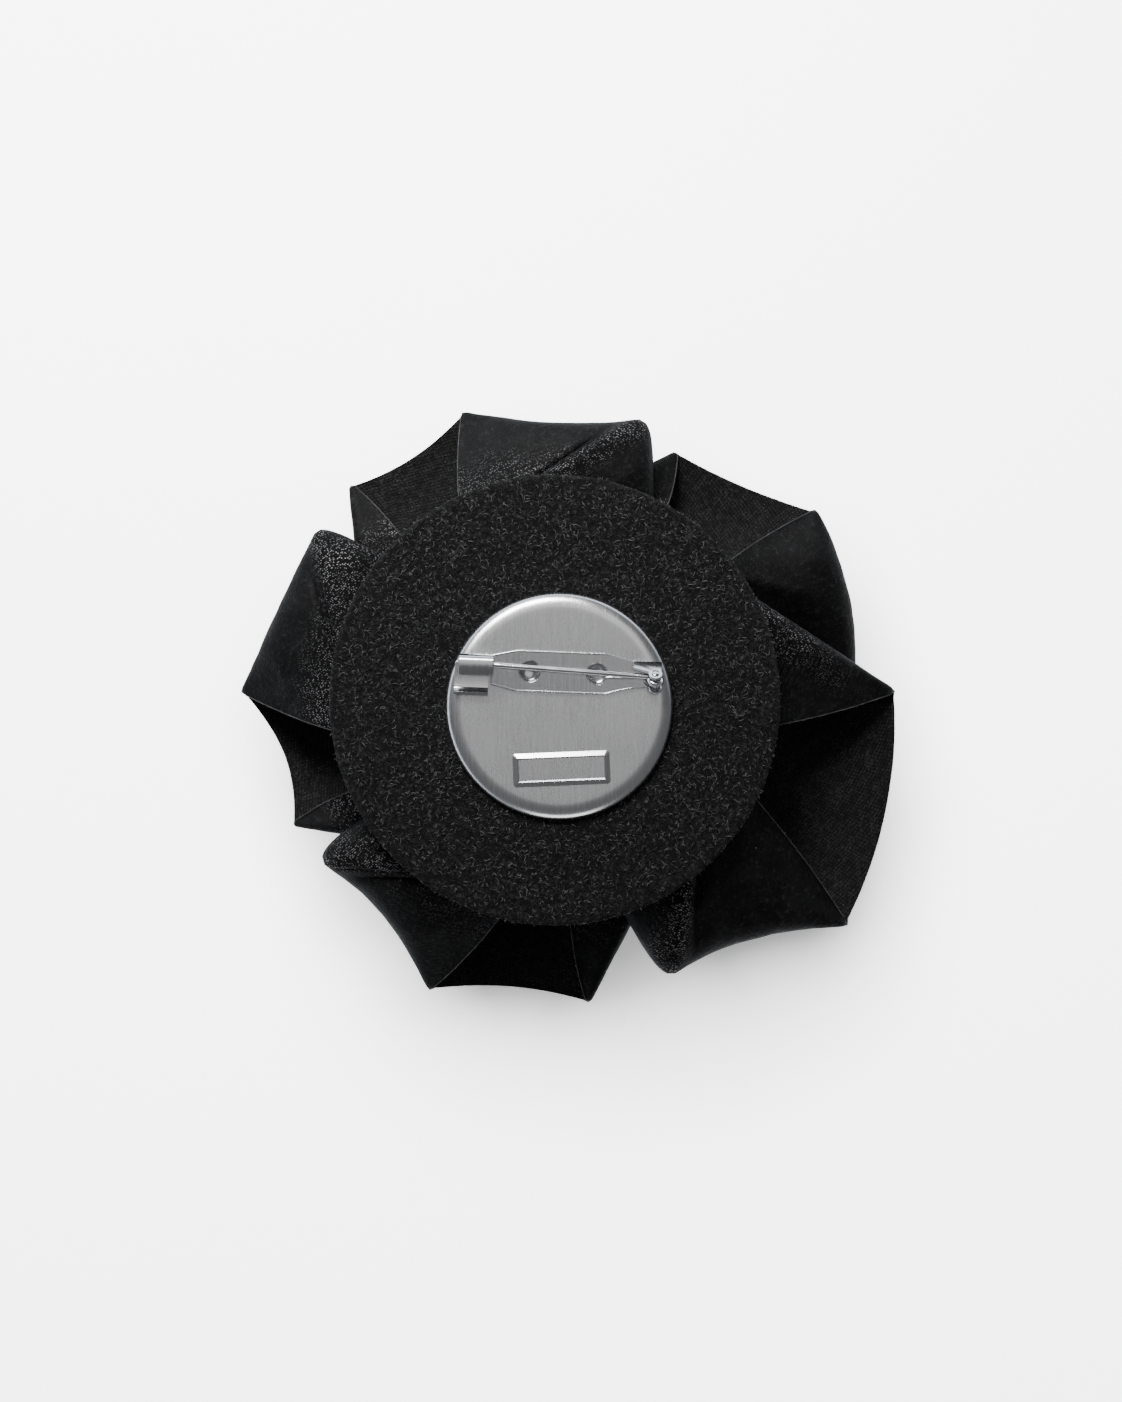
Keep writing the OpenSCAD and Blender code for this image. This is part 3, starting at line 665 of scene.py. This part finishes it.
def grain_and_painted_glint_mask(sections, over_l, over_r, near, pull):
    """Where the grain's relief, its painted glints and its painted shade show: by near close to the
    felt, on a pleat's ridge and, by pull, further down the pleat, and on a left fold that lies over its
    neighbour."""
    grid = even_rows(sections)
    reach = np.linalg.norm(grid[:, :, :2] - rose, axis=2)
    grain = 0.03 + smooth(np.clip((near_reach - reach) / near_width, 0, 1)) * near
    if over_r:
        count = len(PLEAT_STEPS)
        grain[-count:] *= pull
        grain[-count:] += np.clip(1.1 - PLEAT_STEPS / (0.12 + pull), 0, 1)[:, None]
        grain[-count - 4:-count] += np.array([0.1, 0.3, 0.6, 0.9])[:, None]
    if over_l:
        count = len(LEFT_STEPS)
        beside = np.linalg.norm(grid[:count] - grid[:count, len(OUT_STEPS) - 1][:, None], axis=2)
        fade = smooth(np.clip(1.35 - LEFT_STEPS * 1.6, 0, 1))
        grain[:count] += smooth(np.clip(1.5 - beside / 5.0, 0, 1)) * fade[:, None]
    return np.clip(grain, 0, 1)


for k, (corners, folds) in enumerate(OUTER, 1):
    sections = outer_sections(corners, folds)
    grain = grain_and_painted_glint_mask(sections, *folds[5:7], *folds[8:])
    petal = cloth_sheet(f"outer_petal_{k}_cloth", sections, grain, crumple=0.16)
    worn_in_rose(petal, f"outer_petal_{k}")
    petals.append(petal)

# Felt backing
# A round of needle-punched felt glued over the petals' ends. It is a firm mat of
# short curly fibres that stand out of it, most of all round its cut edge.
felt_radius = 29.8
felt_low = 28.4
felt_top = 30.0
felt_shoulder = 0.45
felt_rings = 60
felt_spokes = 240
# The cut edge, downward: height above its foot, and how far in it lies
FELT_EDGE = [(1.45, 0.08), (1.1, 0.0), (0.5, 0.02), (0.0, 0.15)]
fibre_steps = 5
fibres_from = 14.4
fibre_sunk = 0.03
fuzz_count = 700


def felt_paint():
    """Matted black wool: fine curls wander over it in three layers, broken into
    short bits, with dark gaps between them."""
    paint = Paint("felt_mat")
    place = paint.place()
    tangle = paint.noise(place, 1500.0, 2.0)
    curls = 0.0
    for turn, scale, width in ((-40, 900.0, 0.040), (20, 1150.0, 0.045), (75, 1400.0, 0.045)):
        layer = paint.strands(paint.stretched(place, (1.0, 1.45, 1.0), turn), scale, width, 1.0)
        curls = layer.math("MAXIMUM", curls)
    broken = curls * (tangle.over(0.4, 0.6) * 0.8 + 0.2)
    colour = paint.mixed(broken, grey(0.0010), grey(0.022, 0.03))
    relief = paint.bumped(curls, 0.0002, 0.7)
    return paint.finish(Base_Color=colour, Roughness=0.85, Specular_IOR_Level=0.2, Normal=relief)


def fibre_paint(name, low, high):
    """Matte fibres, each of its own grey between two."""
    paint = Paint(name)
    tone = paint.node("ShaderNodeAttribute", {"attribute_name": "tone"}, out=2)
    colour = paint.mixed(tone, grey(low), grey(high, 0.03))
    return paint.finish(Base_Color=colour, Roughness=0.5, Specular_IOR_Level=0.3)


def fibres(name, lines, radii, paint):
    """Thin three-sided tubes along lines of points, joined into one mesh."""
    lines = np.asarray(lines)
    count, steps = lines.shape[:2]
    along = np.gradient(lines, axis=1)
    along /= np.maximum(np.linalg.norm(along, axis=2), 1e-9)[:, :, None]
    side = np.cross(along, up)
    side /= np.maximum(np.linalg.norm(side, axis=2), 1e-9)[:, :, None]
    rise = np.cross(side, along)
    thin = np.sin(np.linspace(0.25, math.pi - 0.25, steps))[None, :, None]
    rings = []
    for corner in range(3):
        turn = 2 * math.pi * corner / 3 + math.pi / 2
        push = side * math.cos(turn) + rise * math.sin(turn)
        rings.append(lines + push * np.asarray(radii)[:, None, None] * thin)
    points = np.stack(rings, 2).reshape(-1, 3)
    base = np.arange(count)[:, None, None] * steps * 3 + np.arange(steps - 1)[None, :, None] * 3
    here, beside = np.arange(3), (np.arange(3) + 1) % 3
    quads = np.stack([base + here, base + beside, base + beside + 3, base + here + 3], -1).reshape(-1, 4)
    piece = new_piece(name, points, quads.tolist(), [paint], smooth_to=180)
    tones = np.repeat(draw.uniform(0, 1, count) ** 1.5, steps * 3)
    piece.data.attributes.new("tone", "FLOAT", "POINT").data.foreach_set("value", tones)
    return piece


def curly_lines(starts, headings, lengths, curls, steps, lift):
    """Arcs over the surface: each turns by its curl and humps up by its lift."""
    share = np.linspace(0, 1, steps + 1)
    angle = headings[:, None] + curls[:, None] * share[None, :]
    step = (lengths / steps)[:, None]
    run, rise = [np.cumsum(part(angle[:, 1:]) * step, 1) for part in (np.cos, np.sin)]
    x = starts[:, 0, None] + np.pad(run, ((0, 0), (1, 0)))
    y = starts[:, 1, None] + np.pad(rise, ((0, 0), (1, 0)))
    z = starts[:, 2, None] + lift[:, None] * np.sin(share * math.pi)[None, :]
    return np.stack([x, y, z], -1)


def felt_height(x, y):
    """Height of the mat's uneven top, in mm."""
    broad = noise.noise(Vector((x * 0.9, y * 0.9, 3.0)))
    fine = noise.noise(Vector((x * 2.6, y * 2.6, 8.0)))
    return 0.10 * broad + 0.07 * fine


def around(centre, reach, turn):
    """A place round a centre, at a reach and a turn in radians."""
    return centre[0] + reach * np.cos(turn), centre[1] + reach * np.sin(turn)


def ring_ids(level, count, first=0):
    """The numbers of one ring's points, where rings follow each other."""
    return [first + level * count + k for k in range(count)]


def ring_faces(levels, count, first=0, turned=False):
    """Faces between rings of points, each ring with the next."""
    faces = []
    for level in range(levels - 1):
        here = ring_ids(level, count, first)
        for a, b in zip(here, here[1:] + here[:1]):
            faces.append((a, b, b + count, a + count) if turned else (a, a + count, b + count, b))
    return faces


felt_turns = [2 * math.pi * k / felt_spokes for k in range(felt_spokes)]
points = []
for level in range(felt_rings + 1):
    reach = min(felt_radius * math.sqrt(level / felt_rings), felt_radius - felt_shoulder)
    for turn in felt_turns:
        x, y = around(rose, reach, turn)
        points.append((x, y, felt_top + felt_height(x, y)))
for height, inset in FELT_EDGE:
    for turn in felt_turns:
        wobble = 0.06 * noise.noise(Vector((math.cos(turn) * 9, math.sin(turn) * 9, height)))
        points.append((*around(rose, felt_radius - inset + wobble, turn), felt_low + height))
levels = felt_rings + 1 + len(FELT_EDGE)
faces = ring_faces(levels, felt_spokes)
faces.append(ring_ids(levels - 1, felt_spokes)[::-1])
felt = new_piece("felt_backing", points, faces, [felt_paint()], smooth_to=60)
fixed(felt, "felt_disc")

# Layers of fibres: how many, length, radius and greys
FIBRES = {
    "felt_fibres_low": (4500, (0.35, 0.8), (0.045, 0.06), 0.001, 0.02),
    "felt_fibres_high": (6300, (0.45, 1.0), (0.048, 0.066), 0.010, 0.15),
}
for name, (count, length, radius, low, high) in FIBRES.items():
    reach = np.sqrt(draw.uniform(fibres_from ** 2, (felt_radius - 0.8) ** 2, count))
    turn = draw.uniform(0, 2 * math.pi, count)
    starts = np.stack([*around(rose, reach, turn), np.zeros(count)], 1)
    for start in starts:
        start[2] = felt_top + felt_height(start[0], start[1]) - fibre_sunk
    swirl = np.array([noise.noise(Vector((x * 0.12, y * 0.12, 1.0))) for x, y, z in starts])
    headings = math.radians(25) + swirl * 3.0 + draw.normal(0, 0.6, count)
    lines = curly_lines(
        starts, headings, draw.uniform(*length, count), draw.normal(0, 3.0, count), fibre_steps,
        draw.uniform(0.04, 0.16, count),
    )
    fixed(fibres(name, lines, draw.uniform(*radius, count), fibre_paint(name, low, high)))

turn = draw.uniform(0, 2 * math.pi, fuzz_count)
inset = draw.uniform(0.0, 0.5, fuzz_count)
high = felt_low + draw.uniform(0.3, 1.55, fuzz_count)
starts = np.stack([*around(rose, felt_radius - inset, turn), high], 1)
lines = curly_lines(
    starts, turn + draw.normal(0, 1.1, fuzz_count), draw.uniform(0.2, 0.6, fuzz_count),
    draw.normal(0, 1.6, fuzz_count), fibre_steps, draw.uniform(0.0, 0.15, fuzz_count),
)
fuzz_radii = draw.uniform(0.025, 0.045, fuzz_count)
fixed(fibres("felt_edge_fuzz", lines, fuzz_radii, fibre_paint("felt_fuzz", 0.03, 0.14)))

# Pressed disc
# A tin-plated steel disc, drawn into a shallow cup with a rolled polished edge
# and fixed on the felt. An oblong plate is embossed below the pin and is bare.
disc_at = np.array([-1.3, 0.2])
disc_radius = 15.0
disc_low = 30.05
disc_high = 31.65
disc_round = 2.1
disc_lip = 0.12
disc_drop = 1.2
disc_spokes = 256
bend_steps = 18
plate_at = disc_at + np.array([0.3, -8.3])
plate_turn = math.radians(2.4)
plate_size = (12.9, 4.5)
plate_corner = 0.5
corner_steps = 6
# The plate's edge, from the outside in: inset, and height above the disc
PLATE_STEPS = [
    (0.0, -0.06), (0.04, 0.04), (0.6, 0.3), (0.66, 0.32),
    (0.72, 0.3), (0.78, 0.2), (0.82, 0.18), (1.1, 0.18),
]


def brushed_paint(name, level, rough, scratch=0.5):
    """Plated sheet with fine upright brush lines, faint clouds and a few scratches."""
    paint = Paint(name)
    place = paint.place()
    lines = paint.noise(paint.stretched(place, (5200.0, 240.0, 240.0)), 1.0, 3.0, 0.6)
    cloud = paint.noise(place, 170.0, 3.0)
    marks = paint.cells(paint.stretched(place, (90.0, 420.0, 90.0), 55), 1.0)
    nick = (1 - marks.over(0.01, 0.03)) * paint.noise(place, 320.0).over(0.52, 0.6)
    colour = paint.mixed(lines.over(0.3, 0.7), grey(level * 0.93), grey(level, 0.01))
    colour = paint.mixed(cloud.over(0.25, 0.8) * 0.35, colour, grey(level * 0.82))
    return paint.finish(
        Base_Color=colour,
        Metallic=1.0,
        Roughness=lines * 0.1 + cloud * 0.1 + (rough - 0.1) - nick * 0.12,
        Normal=paint.bumped(lines + nick * scratch, 0.000006, 0.6),
    )


disc_metal = brushed_paint("disc_metal", 0.62, 0.27)
profile = [(r, disc_high) for r in np.linspace(0.0, disc_radius - disc_round - 0.5, 14)[1:]]
for k in range(bend_steps + 1):
    bend = math.pi / 2 * k / bend_steps
    reach = disc_radius - disc_round + (disc_round - disc_lip) * math.sin(bend) ** 1.06
    height = disc_high - disc_drop * (1 - math.cos(bend)) ** 1.15
    profile.append((reach + disc_lip * math.sin(bend), height))
profile += [(disc_radius, disc_low + 0.25), (disc_radius - 0.1, disc_low + 0.02)]
profile.append((disc_radius - 0.5, disc_low))
points = [(*disc_at, disc_high)]
for reach, height in profile:
    for spoke in range(disc_spokes):
        x, y = around(disc_at, reach, 2 * math.pi * spoke / disc_spokes)
        dent = 0.03 * noise.noise(Vector((x * 0.13, y * 0.13, 5.0))) * min(1, reach / 4)
        points.append((x, y, height + dent))
faces = [(0, 1 + k, 1 + (k + 1) % disc_spokes) for k in range(disc_spokes)]
faces += ring_faces(len(profile), disc_spokes, 1)
faces.append(ring_ids(len(profile) - 1, disc_spokes, 1)[::-1])
disc = new_piece("pressed_disc", points, faces, [disc_metal], smooth_to=70)
disc_only.objects.link(disc)
fixed(disc, "back_disc")


def turned(centre, x, y, turn):
    """A place beside a centre, in a frame that has a turn in radians."""
    return (centre[0] + x * math.cos(turn) - y * math.sin(turn),
            centre[1] + x * math.sin(turn) + y * math.cos(turn))


def oblong(width, height, corner):
    """Points round an oblong with rounded corners."""
    ring = []
    for quarter, (sx, sy) in enumerate([(1, 1), (-1, 1), (-1, -1), (1, -1)]):
        for k in range(corner_steps + 1):
            turn = math.pi / 2 * (quarter + k / corner_steps)
            ring.append((sx * (width / 2 - corner) + corner * math.cos(turn),
                         sy * (height / 2 - corner) + corner * math.sin(turn)))
    return ring


width, height = plate_size
points = []
for inset, rise in PLATE_STEPS:
    corner = max(plate_corner - inset * 0.6, 0.08)
    for x, y in oblong(width - 2 * inset, height - 2 * inset, corner):
        points.append((*turned(plate_at, x, y, plate_turn), disc_high + rise))
count = 4 * (corner_steps + 1)
faces = ring_faces(len(PLATE_STEPS), count, turned=True)
faces.append(ring_ids(len(PLATE_STEPS) - 1, count))
fixed(new_piece("embossed_plate", points, faces, [disc_metal], smooth_to=18))

# Pin bar
# One nickel-plated strip, spot-fixed across the disc. Its left end is bent into
# the hood that catches the wire, its right end into the two ears of the hinge.
bar_at = np.array([-1.0, 4.66, 31.70])
bar_turn = math.radians(-2.2)
bar_thick = 0.4
bar_round = 0.1
BAR_HALF = [(-9.3, 2.0), (-5.9, 2.75), (5.9, 2.75), (7.7, 2.2), (9.3, 1.85)]
BAR_END = [(13.2, 1.85), (13.2, -1.4)]
hole_radius = 1.4
hole_sides = 40
HOLES = (-4.2, 4.7)
# The dimples of the disc in the holes: radius, and height above the disc
DISH = [
    (0.05, 0.06), (0.35, 0.07), (0.7, 0.11), (1.0, 0.19), (1.2, 0.28), (1.3, 0.35), (1.36, 0.3), (1.36, 0.0),
]
dish_spokes = 48
edge_radius = 0.13
edge_in = 0.14
edge_up = 0.03


def on_bar(x, y, z):
    """A point in mm from the bar's own frame: along it, across it, up from the disc."""
    return np.array([*turned(bar_at, x, y, bar_turn), bar_at[2] + z])


def circle(radius, count):
    """Points round a circle, from its right side on."""
    turns = [2 * math.pi * k / count for k in range(count)]
    return [(radius * math.cos(turn), radius * math.sin(turn)) for turn in turns]


def shaped(piece):
    """The mesh that a curve or a piece with a modifier comes out as."""
    return bpy.data.meshes.new_from_object(piece.evaluated_get(bpy.context.evaluated_depsgraph_get()))


def sheet_metal(name, outlines, paint):
    """A flat blank with holes and rounded edges, lying in the bar's frame."""
    blank = bpy.data.curves.new(name, "CURVE")
    blank.dimensions = "2D"
    blank.fill_mode = "BOTH"
    blank.extrude = (bar_thick / 2 - bar_round) * MM
    blank.bevel_depth = bar_round * MM
    blank.bevel_resolution = 2
    blank.offset = -bar_round * MM
    for outline in outlines:
        spline = blank.splines.new("POLY")
        spline.points.add(len(outline) - 1)
        for point, (x, y) in zip(spline.points, outline):
            point.co = (x * MM, y * MM, 0, 1)
        spline.use_cyclic_u = True
    shape = bpy.data.objects.new(name + "_blank", blank)
    scene.collection.objects.link(shape)
    bpy.context.view_layer.update()
    flat = shaped(shape)
    bpy.data.objects.remove(shape)
    points = [on_bar(v.co.x / MM, v.co.y / MM, bar_thick / 2 + v.co.z / MM) for v in flat.vertices]
    return new_piece(name, points, [list(f.vertices) for f in flat.polygons], [paint], smooth_to=35)


bright_metal = brushed_paint("bar_metal", 0.56, 0.17, 0.9)
lower = [(x, -y) for x, y in BAR_HALF[::-1]]
outlines = [(BAR_HALF + BAR_END + lower)[::-1]]
for hole in HOLES:
    outlines.append([(hole + x, -y) for x, y in circle(hole_radius, hole_sides)])
strip = sheet_metal("bar_strip", outlines, bright_metal)
fixed(strip, "pin_bar")


def tube(name, path, radii, paint, sides=16):
    """A round wire along a path of points in mm, thinning as the radii say."""
    path = np.asarray(path, float)
    along = np.gradient(path, axis=0)
    along /= np.linalg.norm(along, axis=1)[:, None]
    side = np.cross(along[0], up)
    side /= np.linalg.norm(side)
    points = []
    for place, way, radius in zip(path, along, radii):
        side = side - way * side.dot(way)
        side /= np.linalg.norm(side)
        other = np.cross(way, side)
        for k in range(sides):
            turn = 2 * math.pi * k / sides
            points.append(place + (side * math.cos(turn) + other * math.sin(turn)) * radius)
    faces = [ring_ids(0, sides), ring_ids(len(path) - 1, sides)[::-1], *ring_faces(len(path), sides)]
    return new_piece(name, points, faces, [paint], smooth_to=50)


# The strip's two long edges are rolled over a little
upper_corners = [on_bar(x, y - edge_in, bar_thick + edge_up) for x, y in BAR_HALF[:3]]
upper_corners.append(on_bar(6.2, 2.45, bar_thick + 0.02))
lower_corners = [on_bar(x, edge_in - y, bar_thick + edge_up) for x, y in BAR_HALF]
for name, corners in (("strip_edge_upper", upper_corners), ("strip_edge_lower", lower_corners)):
    path = []
    for stop in np.linspace(0, len(corners) - 1, 12 * len(corners)):
        k = min(int(stop), len(corners) - 2)
        path.append(mix(corners[k], corners[k + 1], stop - k))
    fixed(tube(name, path, [edge_radius] * len(path), bright_metal, sides=10))

# The disc is dimpled where the strip is fixed through its holes
for k, hole in enumerate(HOLES, 1):
    points = [on_bar(hole + x, y, z) for r, z in DISH for x, y in circle(r, dish_spokes)]
    faces = [ring_ids(0, dish_spokes), *ring_faces(len(DISH), dish_spokes)]
    fixed(new_piece(f"fixing_dimple_{k}", points, faces, [bright_metal], smooth_to=60))


def bent_strip(name, path, ends, thick):
    """A strip bent along a path of (across, up) points, from one end to the other
    along the bar, with its edges rounded."""
    path = np.array(path, float)
    along = np.gradient(path, axis=0)
    along /= np.linalg.norm(along, axis=1)[:, None]
    side = np.stack([-along[:, 1], along[:, 0]], 1) * thick / 2
    loop = np.concatenate([path + side, (path - side)[::-1]])
    count = len(loop)
    stations = np.linspace(*ends, 5)
    points = [on_bar(x, y, z) for x in stations for y, z in loop]
    faces = ring_faces(len(stations), count, turned=True)
    for base, flip in ((0, False), ((len(stations) - 1) * count, True)):
        for k in range(count // 2 - 1):
            cell = [base + k, base + count - 1 - k, base + count - 2 - k, base + k + 1]
            faces.append(cell[::-1] if flip else cell)
    piece = new_piece(name, points, faces, [bright_metal], smooth_to=40)
    trim = piece.modifiers.new("round", "BEVEL")
    trim.width = 0.08 * MM
    trim.segments = 3
    trim.limit_method = "ANGLE"
    trim.angle_limit = math.radians(50)
    rounded = shaped(piece)
    piece.modifiers.clear()
    piece.data = rounded
    fixed(piece)


def arc(centre, radius, start, stop, steps):
    """Points on an arc, from one angle in degrees to another."""
    turns = [math.radians(mix(start, stop, k / steps)) for k in range(steps + 1)]
    return [(centre[0] + radius * math.cos(t), centre[1] + radius * math.sin(t)) for t in turns]


hood_y, hood_lip_y, hood_top, hood_round = 1.75, -0.6, 3.8, 0.85
hood_path = [
    (0.9, 0.2), (1.3, 0.2), (1.6, 0.24), (1.74, 0.5), (hood_y, 1.2), (hood_y, 2.0),
    *arc((hood_y - hood_round, hood_top - hood_round), hood_round, 0, 90, 10),
    (0.4, hood_top), (-0.1, hood_top - 0.02), (-0.45, hood_top - 0.1), (hood_lip_y, hood_top - 0.25),
]
bent_strip("catch_hood", hood_path, (-13.6, -9.0), bar_thick)
guard_thick = 0.38
guard_path = [(0.9, 0.22), (-0.6, 0.22), (-1.7, 0.22), (-2.2, 0.24), *arc((-2.2, 1.3), 1.06, -88, -172, 8)]
bent_strip("catch_guard", guard_path, (-14.1, -9.6), guard_thick)

# Hinge
# The strip's right end has two ears that lean over and hold a short rivet. The
# wire's coil turns on it, so that the wire leaves the catch sideways and up.
rivet_tilt = math.radians(45)
coil_radius = 0.78
wire_radius = 0.35
hinge_drop = coil_radius * np.array([0, -math.sin(rivet_tilt), math.cos(rivet_tilt)])
wire_from = np.array([12.4, -0.17, 1.9])
hinge = wire_from + hinge_drop
ear_in, ear_thick, ear_head, ear_round = 1.05, 0.4, 0.95, 0.07
ear_mid = ear_in + ear_thick / 2
upright_y = 1.65
upright_lap = 0.15
rivet_radius = 0.4
rivet_spokes = 40


def on_rivet(x, y, z):
    """A point from the rivet's frame: along the bar, down to the bar, along the rivet."""
    tilt = rivet_tilt - math.pi / 2
    return on_bar(hinge[0] + x, hinge[1] + y * math.cos(tilt) - z * math.sin(tilt),
                  hinge[2] + y * math.sin(tilt) + z * math.cos(tilt))


def ear(name, side, foot_x, foot_reach):
    """A round-headed ear: its head on the rivet, its blade down to the strip."""
    outline = arc((0, 0), ear_head, 180, 360, 15)
    outline += [(foot_x[1], 0.5), (foot_x[1], foot_reach), (foot_x[0], foot_reach), (foot_x[0], 1.0)]
    outline.append((-ear_head, 0.35))
    half, count = ear_thick / 2, len(outline)
    levels = [(-half, 0.94), (ear_round - half, 1.0), (half - ear_round, 1.0), (half, 0.94)]
    points = [on_rivet(x * s, y * s, side * ear_mid + z) for z, s in levels for x, y in outline]
    faces = [ring_ids(0, count)[::-1], ring_ids(3, count), *ring_faces(4, count, turned=True)]
    fixed(new_piece(name, points, faces, [bright_metal], smooth_to=40))


low_reach = (hinge[2] - ear_mid * math.sin(rivet_tilt) - bar_thick / 2) / math.cos(rivet_tilt)
tall_reach = (upright_y - hinge[1] - ear_mid * math.cos(rivet_tilt)) / math.sin(rivet_tilt) + upright_lap
ear("hinge_ear_low", -1, (-1.5, 0.8), low_reach)
ear("hinge_ear_tall", 1, (-2.9, 0.8), tall_reach)
upright_top = hinge[2] + ear_mid * math.sin(rivet_tilt) - tall_reach * math.cos(rivet_tilt) + upright_lap
upright_path = [(upright_y, 0.1), (upright_y, upright_top * 0.5), (upright_y, upright_top)]
bent_strip("hinge_upright", upright_path, (9.4, 13.2), bar_thick)

rivet_reach = ear_in + ear_thick + 0.03
RIVET_HALF = [
    (rivet_radius, 0.0), (rivet_radius, rivet_reach), (0.5, rivet_reach), (0.5, rivet_reach + 0.08),
    (0.4, rivet_reach + 0.15), (0.2, rivet_reach + 0.17),
]
profile = [(r, -z) for r, z in RIVET_HALF[::-1]] + RIVET_HALF[1:]
points = [on_rivet(x, y, z) for r, z in profile for x, y in circle(r, rivet_spokes)]
faces = ring_faces(len(profile), rivet_spokes, turned=True)
faces += [ring_ids(0, rivet_spokes)[::-1], ring_ids(len(profile) - 1, rivet_spokes)]
fixed(new_piece("rivet", points, faces, [bright_metal], smooth_to=40), "hinge_rivet")


def wire_paint():
    """Polished plated wire with faint draw lines and cloudy plating."""
    paint = Paint("pin_metal")
    place = paint.place()
    cloud = paint.noise(place, 420.0, 3.0)
    drawn = paint.noise(paint.stretched(place, (150.0, 4200.0, 4200.0)), 1.0, 2.0)
    colour = paint.mixed(cloud.over(0.3, 0.7), grey(0.58), grey(0.78, 0.02))
    roughness = cloud * 0.1 + 0.08
    relief = paint.bumped(drawn, 0.000003, 0.5)
    return paint.finish(Base_Color=colour, Metallic=1.0, Roughness=roughness, Normal=relief)


pin_metal = wire_paint()
tail_path = [on_bar(x, mix(-0.45, -0.37, (x - 5.9) / 4.5), 0.62) for x in np.linspace(5.9, 10.4, 12)]
tail = tube("spring_end", tail_path, [0.12] + [0.2] * 11, pin_metal)
fixed(tail, "spring_tail")

# Pin wire
# One sprung wire: a coil round the rivet, a straight run under the hood and a
# long ground point. It is the one piece that moves.
wire_to = np.array([-12.6, 0.75, 1.9])
point_length = 4.2
coil_turns = 2.2
coil_half = 0.45
coil_steps = 60
run_steps = 60
path, radii = [], []
for k in range(coil_steps):
    share = k / coil_steps
    turn = math.radians(90) - coil_turns * 2 * math.pi * (1 - share)
    across, down = coil_radius * math.cos(turn), coil_radius * math.sin(turn)
    path.append(on_rivet(across, down, mix(coil_half, 0, share ** 0.8)))
    radii.append(wire_radius)
length = float(np.linalg.norm(wire_to - wire_from))
for k in range(run_steps + 1):
    left = length - length * k / run_steps
    path.append(on_bar(*mix(wire_from, wire_to, k / run_steps)))
    radii.append(wire_radius if left > point_length else mix(0.05, wire_radius, left / point_length))
wire = tube("sprung_wire", path, radii, pin_metal, sides=20)
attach(wire, "pin")
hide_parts("pin_wire")

# Raw ends
# The petals' cut rims shed. Short pale ends of the cloth's own yarn stand out
# along every raw edge, held by the weave, but not where the felt covers it.
ends_per_mm = 3.2
most_ends = 12
under_felt_z = 27.6
end_starts, end_ways, end_sizes = [], [], []
for petal in petals:
    border = np.array(petal["border_mm"]).reshape(-1, 3)
    facing = np.array(petal["border_out"]).reshape(-1, 3)
    ahead = np.roll(border, -1, 0) - border
    length = np.linalg.norm(ahead, axis=1)
    away = np.cross(ahead / np.maximum(length, 1e-9)[:, None], facing)
    count = (length * ends_per_mm + draw.uniform(0, 1, len(length))).astype(int)
    count = np.minimum(count, most_ends)
    for k in np.flatnonzero(count):
        if border[k, 2] > under_felt_z:
            continue
        for share in draw.uniform(0, 1, count[k]):
            end_starts.append(border[k] + ahead[k] * share + facing[k] * draw.uniform(-0.2, 0.2))
            end_ways.append(away[k] + draw.normal(0, 0.6, 3))
            end_sizes.append(draw.uniform(0.1, 0.3))
starts, ways = np.array(end_starts), np.array(end_ways)
ways /= np.linalg.norm(ways, axis=1)[:, None]
sizes = np.array(end_sizes)[:, None]
bend = draw.normal(0, 0.35, ways.shape)
lines = [starts - ways * 0.06, starts + ways * sizes * 0.5, starts + (ways + bend) * sizes]
lines = np.stack(lines, 1)
radii = draw.uniform(0.014, 0.028, len(lines))
fixed(fibres("raw_rim_ends", lines, radii, fibre_paint("yarn_end", 0.05, 0.16)))

# Where a corner is turned back, its cut edge shows the cloth's pale core as a line
core_radius = 0.065
core_paint = fibre_paint("core_yarn", 0.004, 0.07)
columns = len(OUT_STEPS) + len(BACK_STEPS)
rim_from, rim_to = len(LEFT_STEPS), len(LEFT_STEPS) + len(RIM_STEPS)
for number, petal in enumerate(petals[-len(OUTER):], 1):
    border = np.array(petal["border_mm"]).reshape(-1, 3)[columns - 1:]
    facing = np.array(petal["border_out"]).reshape(-1, 3)[columns - 1:]
    core_line = border + facing * (cloth_wall / 2)
    for side, first, last in (("left", 0, rim_from), ("right", rim_to, rim_to + len(RIGHT_STEPS))):
        path = core_line[first:last]
        radii = [core_radius] * len(path)
        core = tube(f"turned_edge_{side}_{number}", path, radii, core_paint, sides=8)
        tones = [0.5 + 0.5 * noise.noise(v.co / MM * 1.3) for v in core.data.vertices]
        core.data.attributes.new("tone", "FLOAT", "POINT").data.foreach_set("value", tones)
        fixed(core)
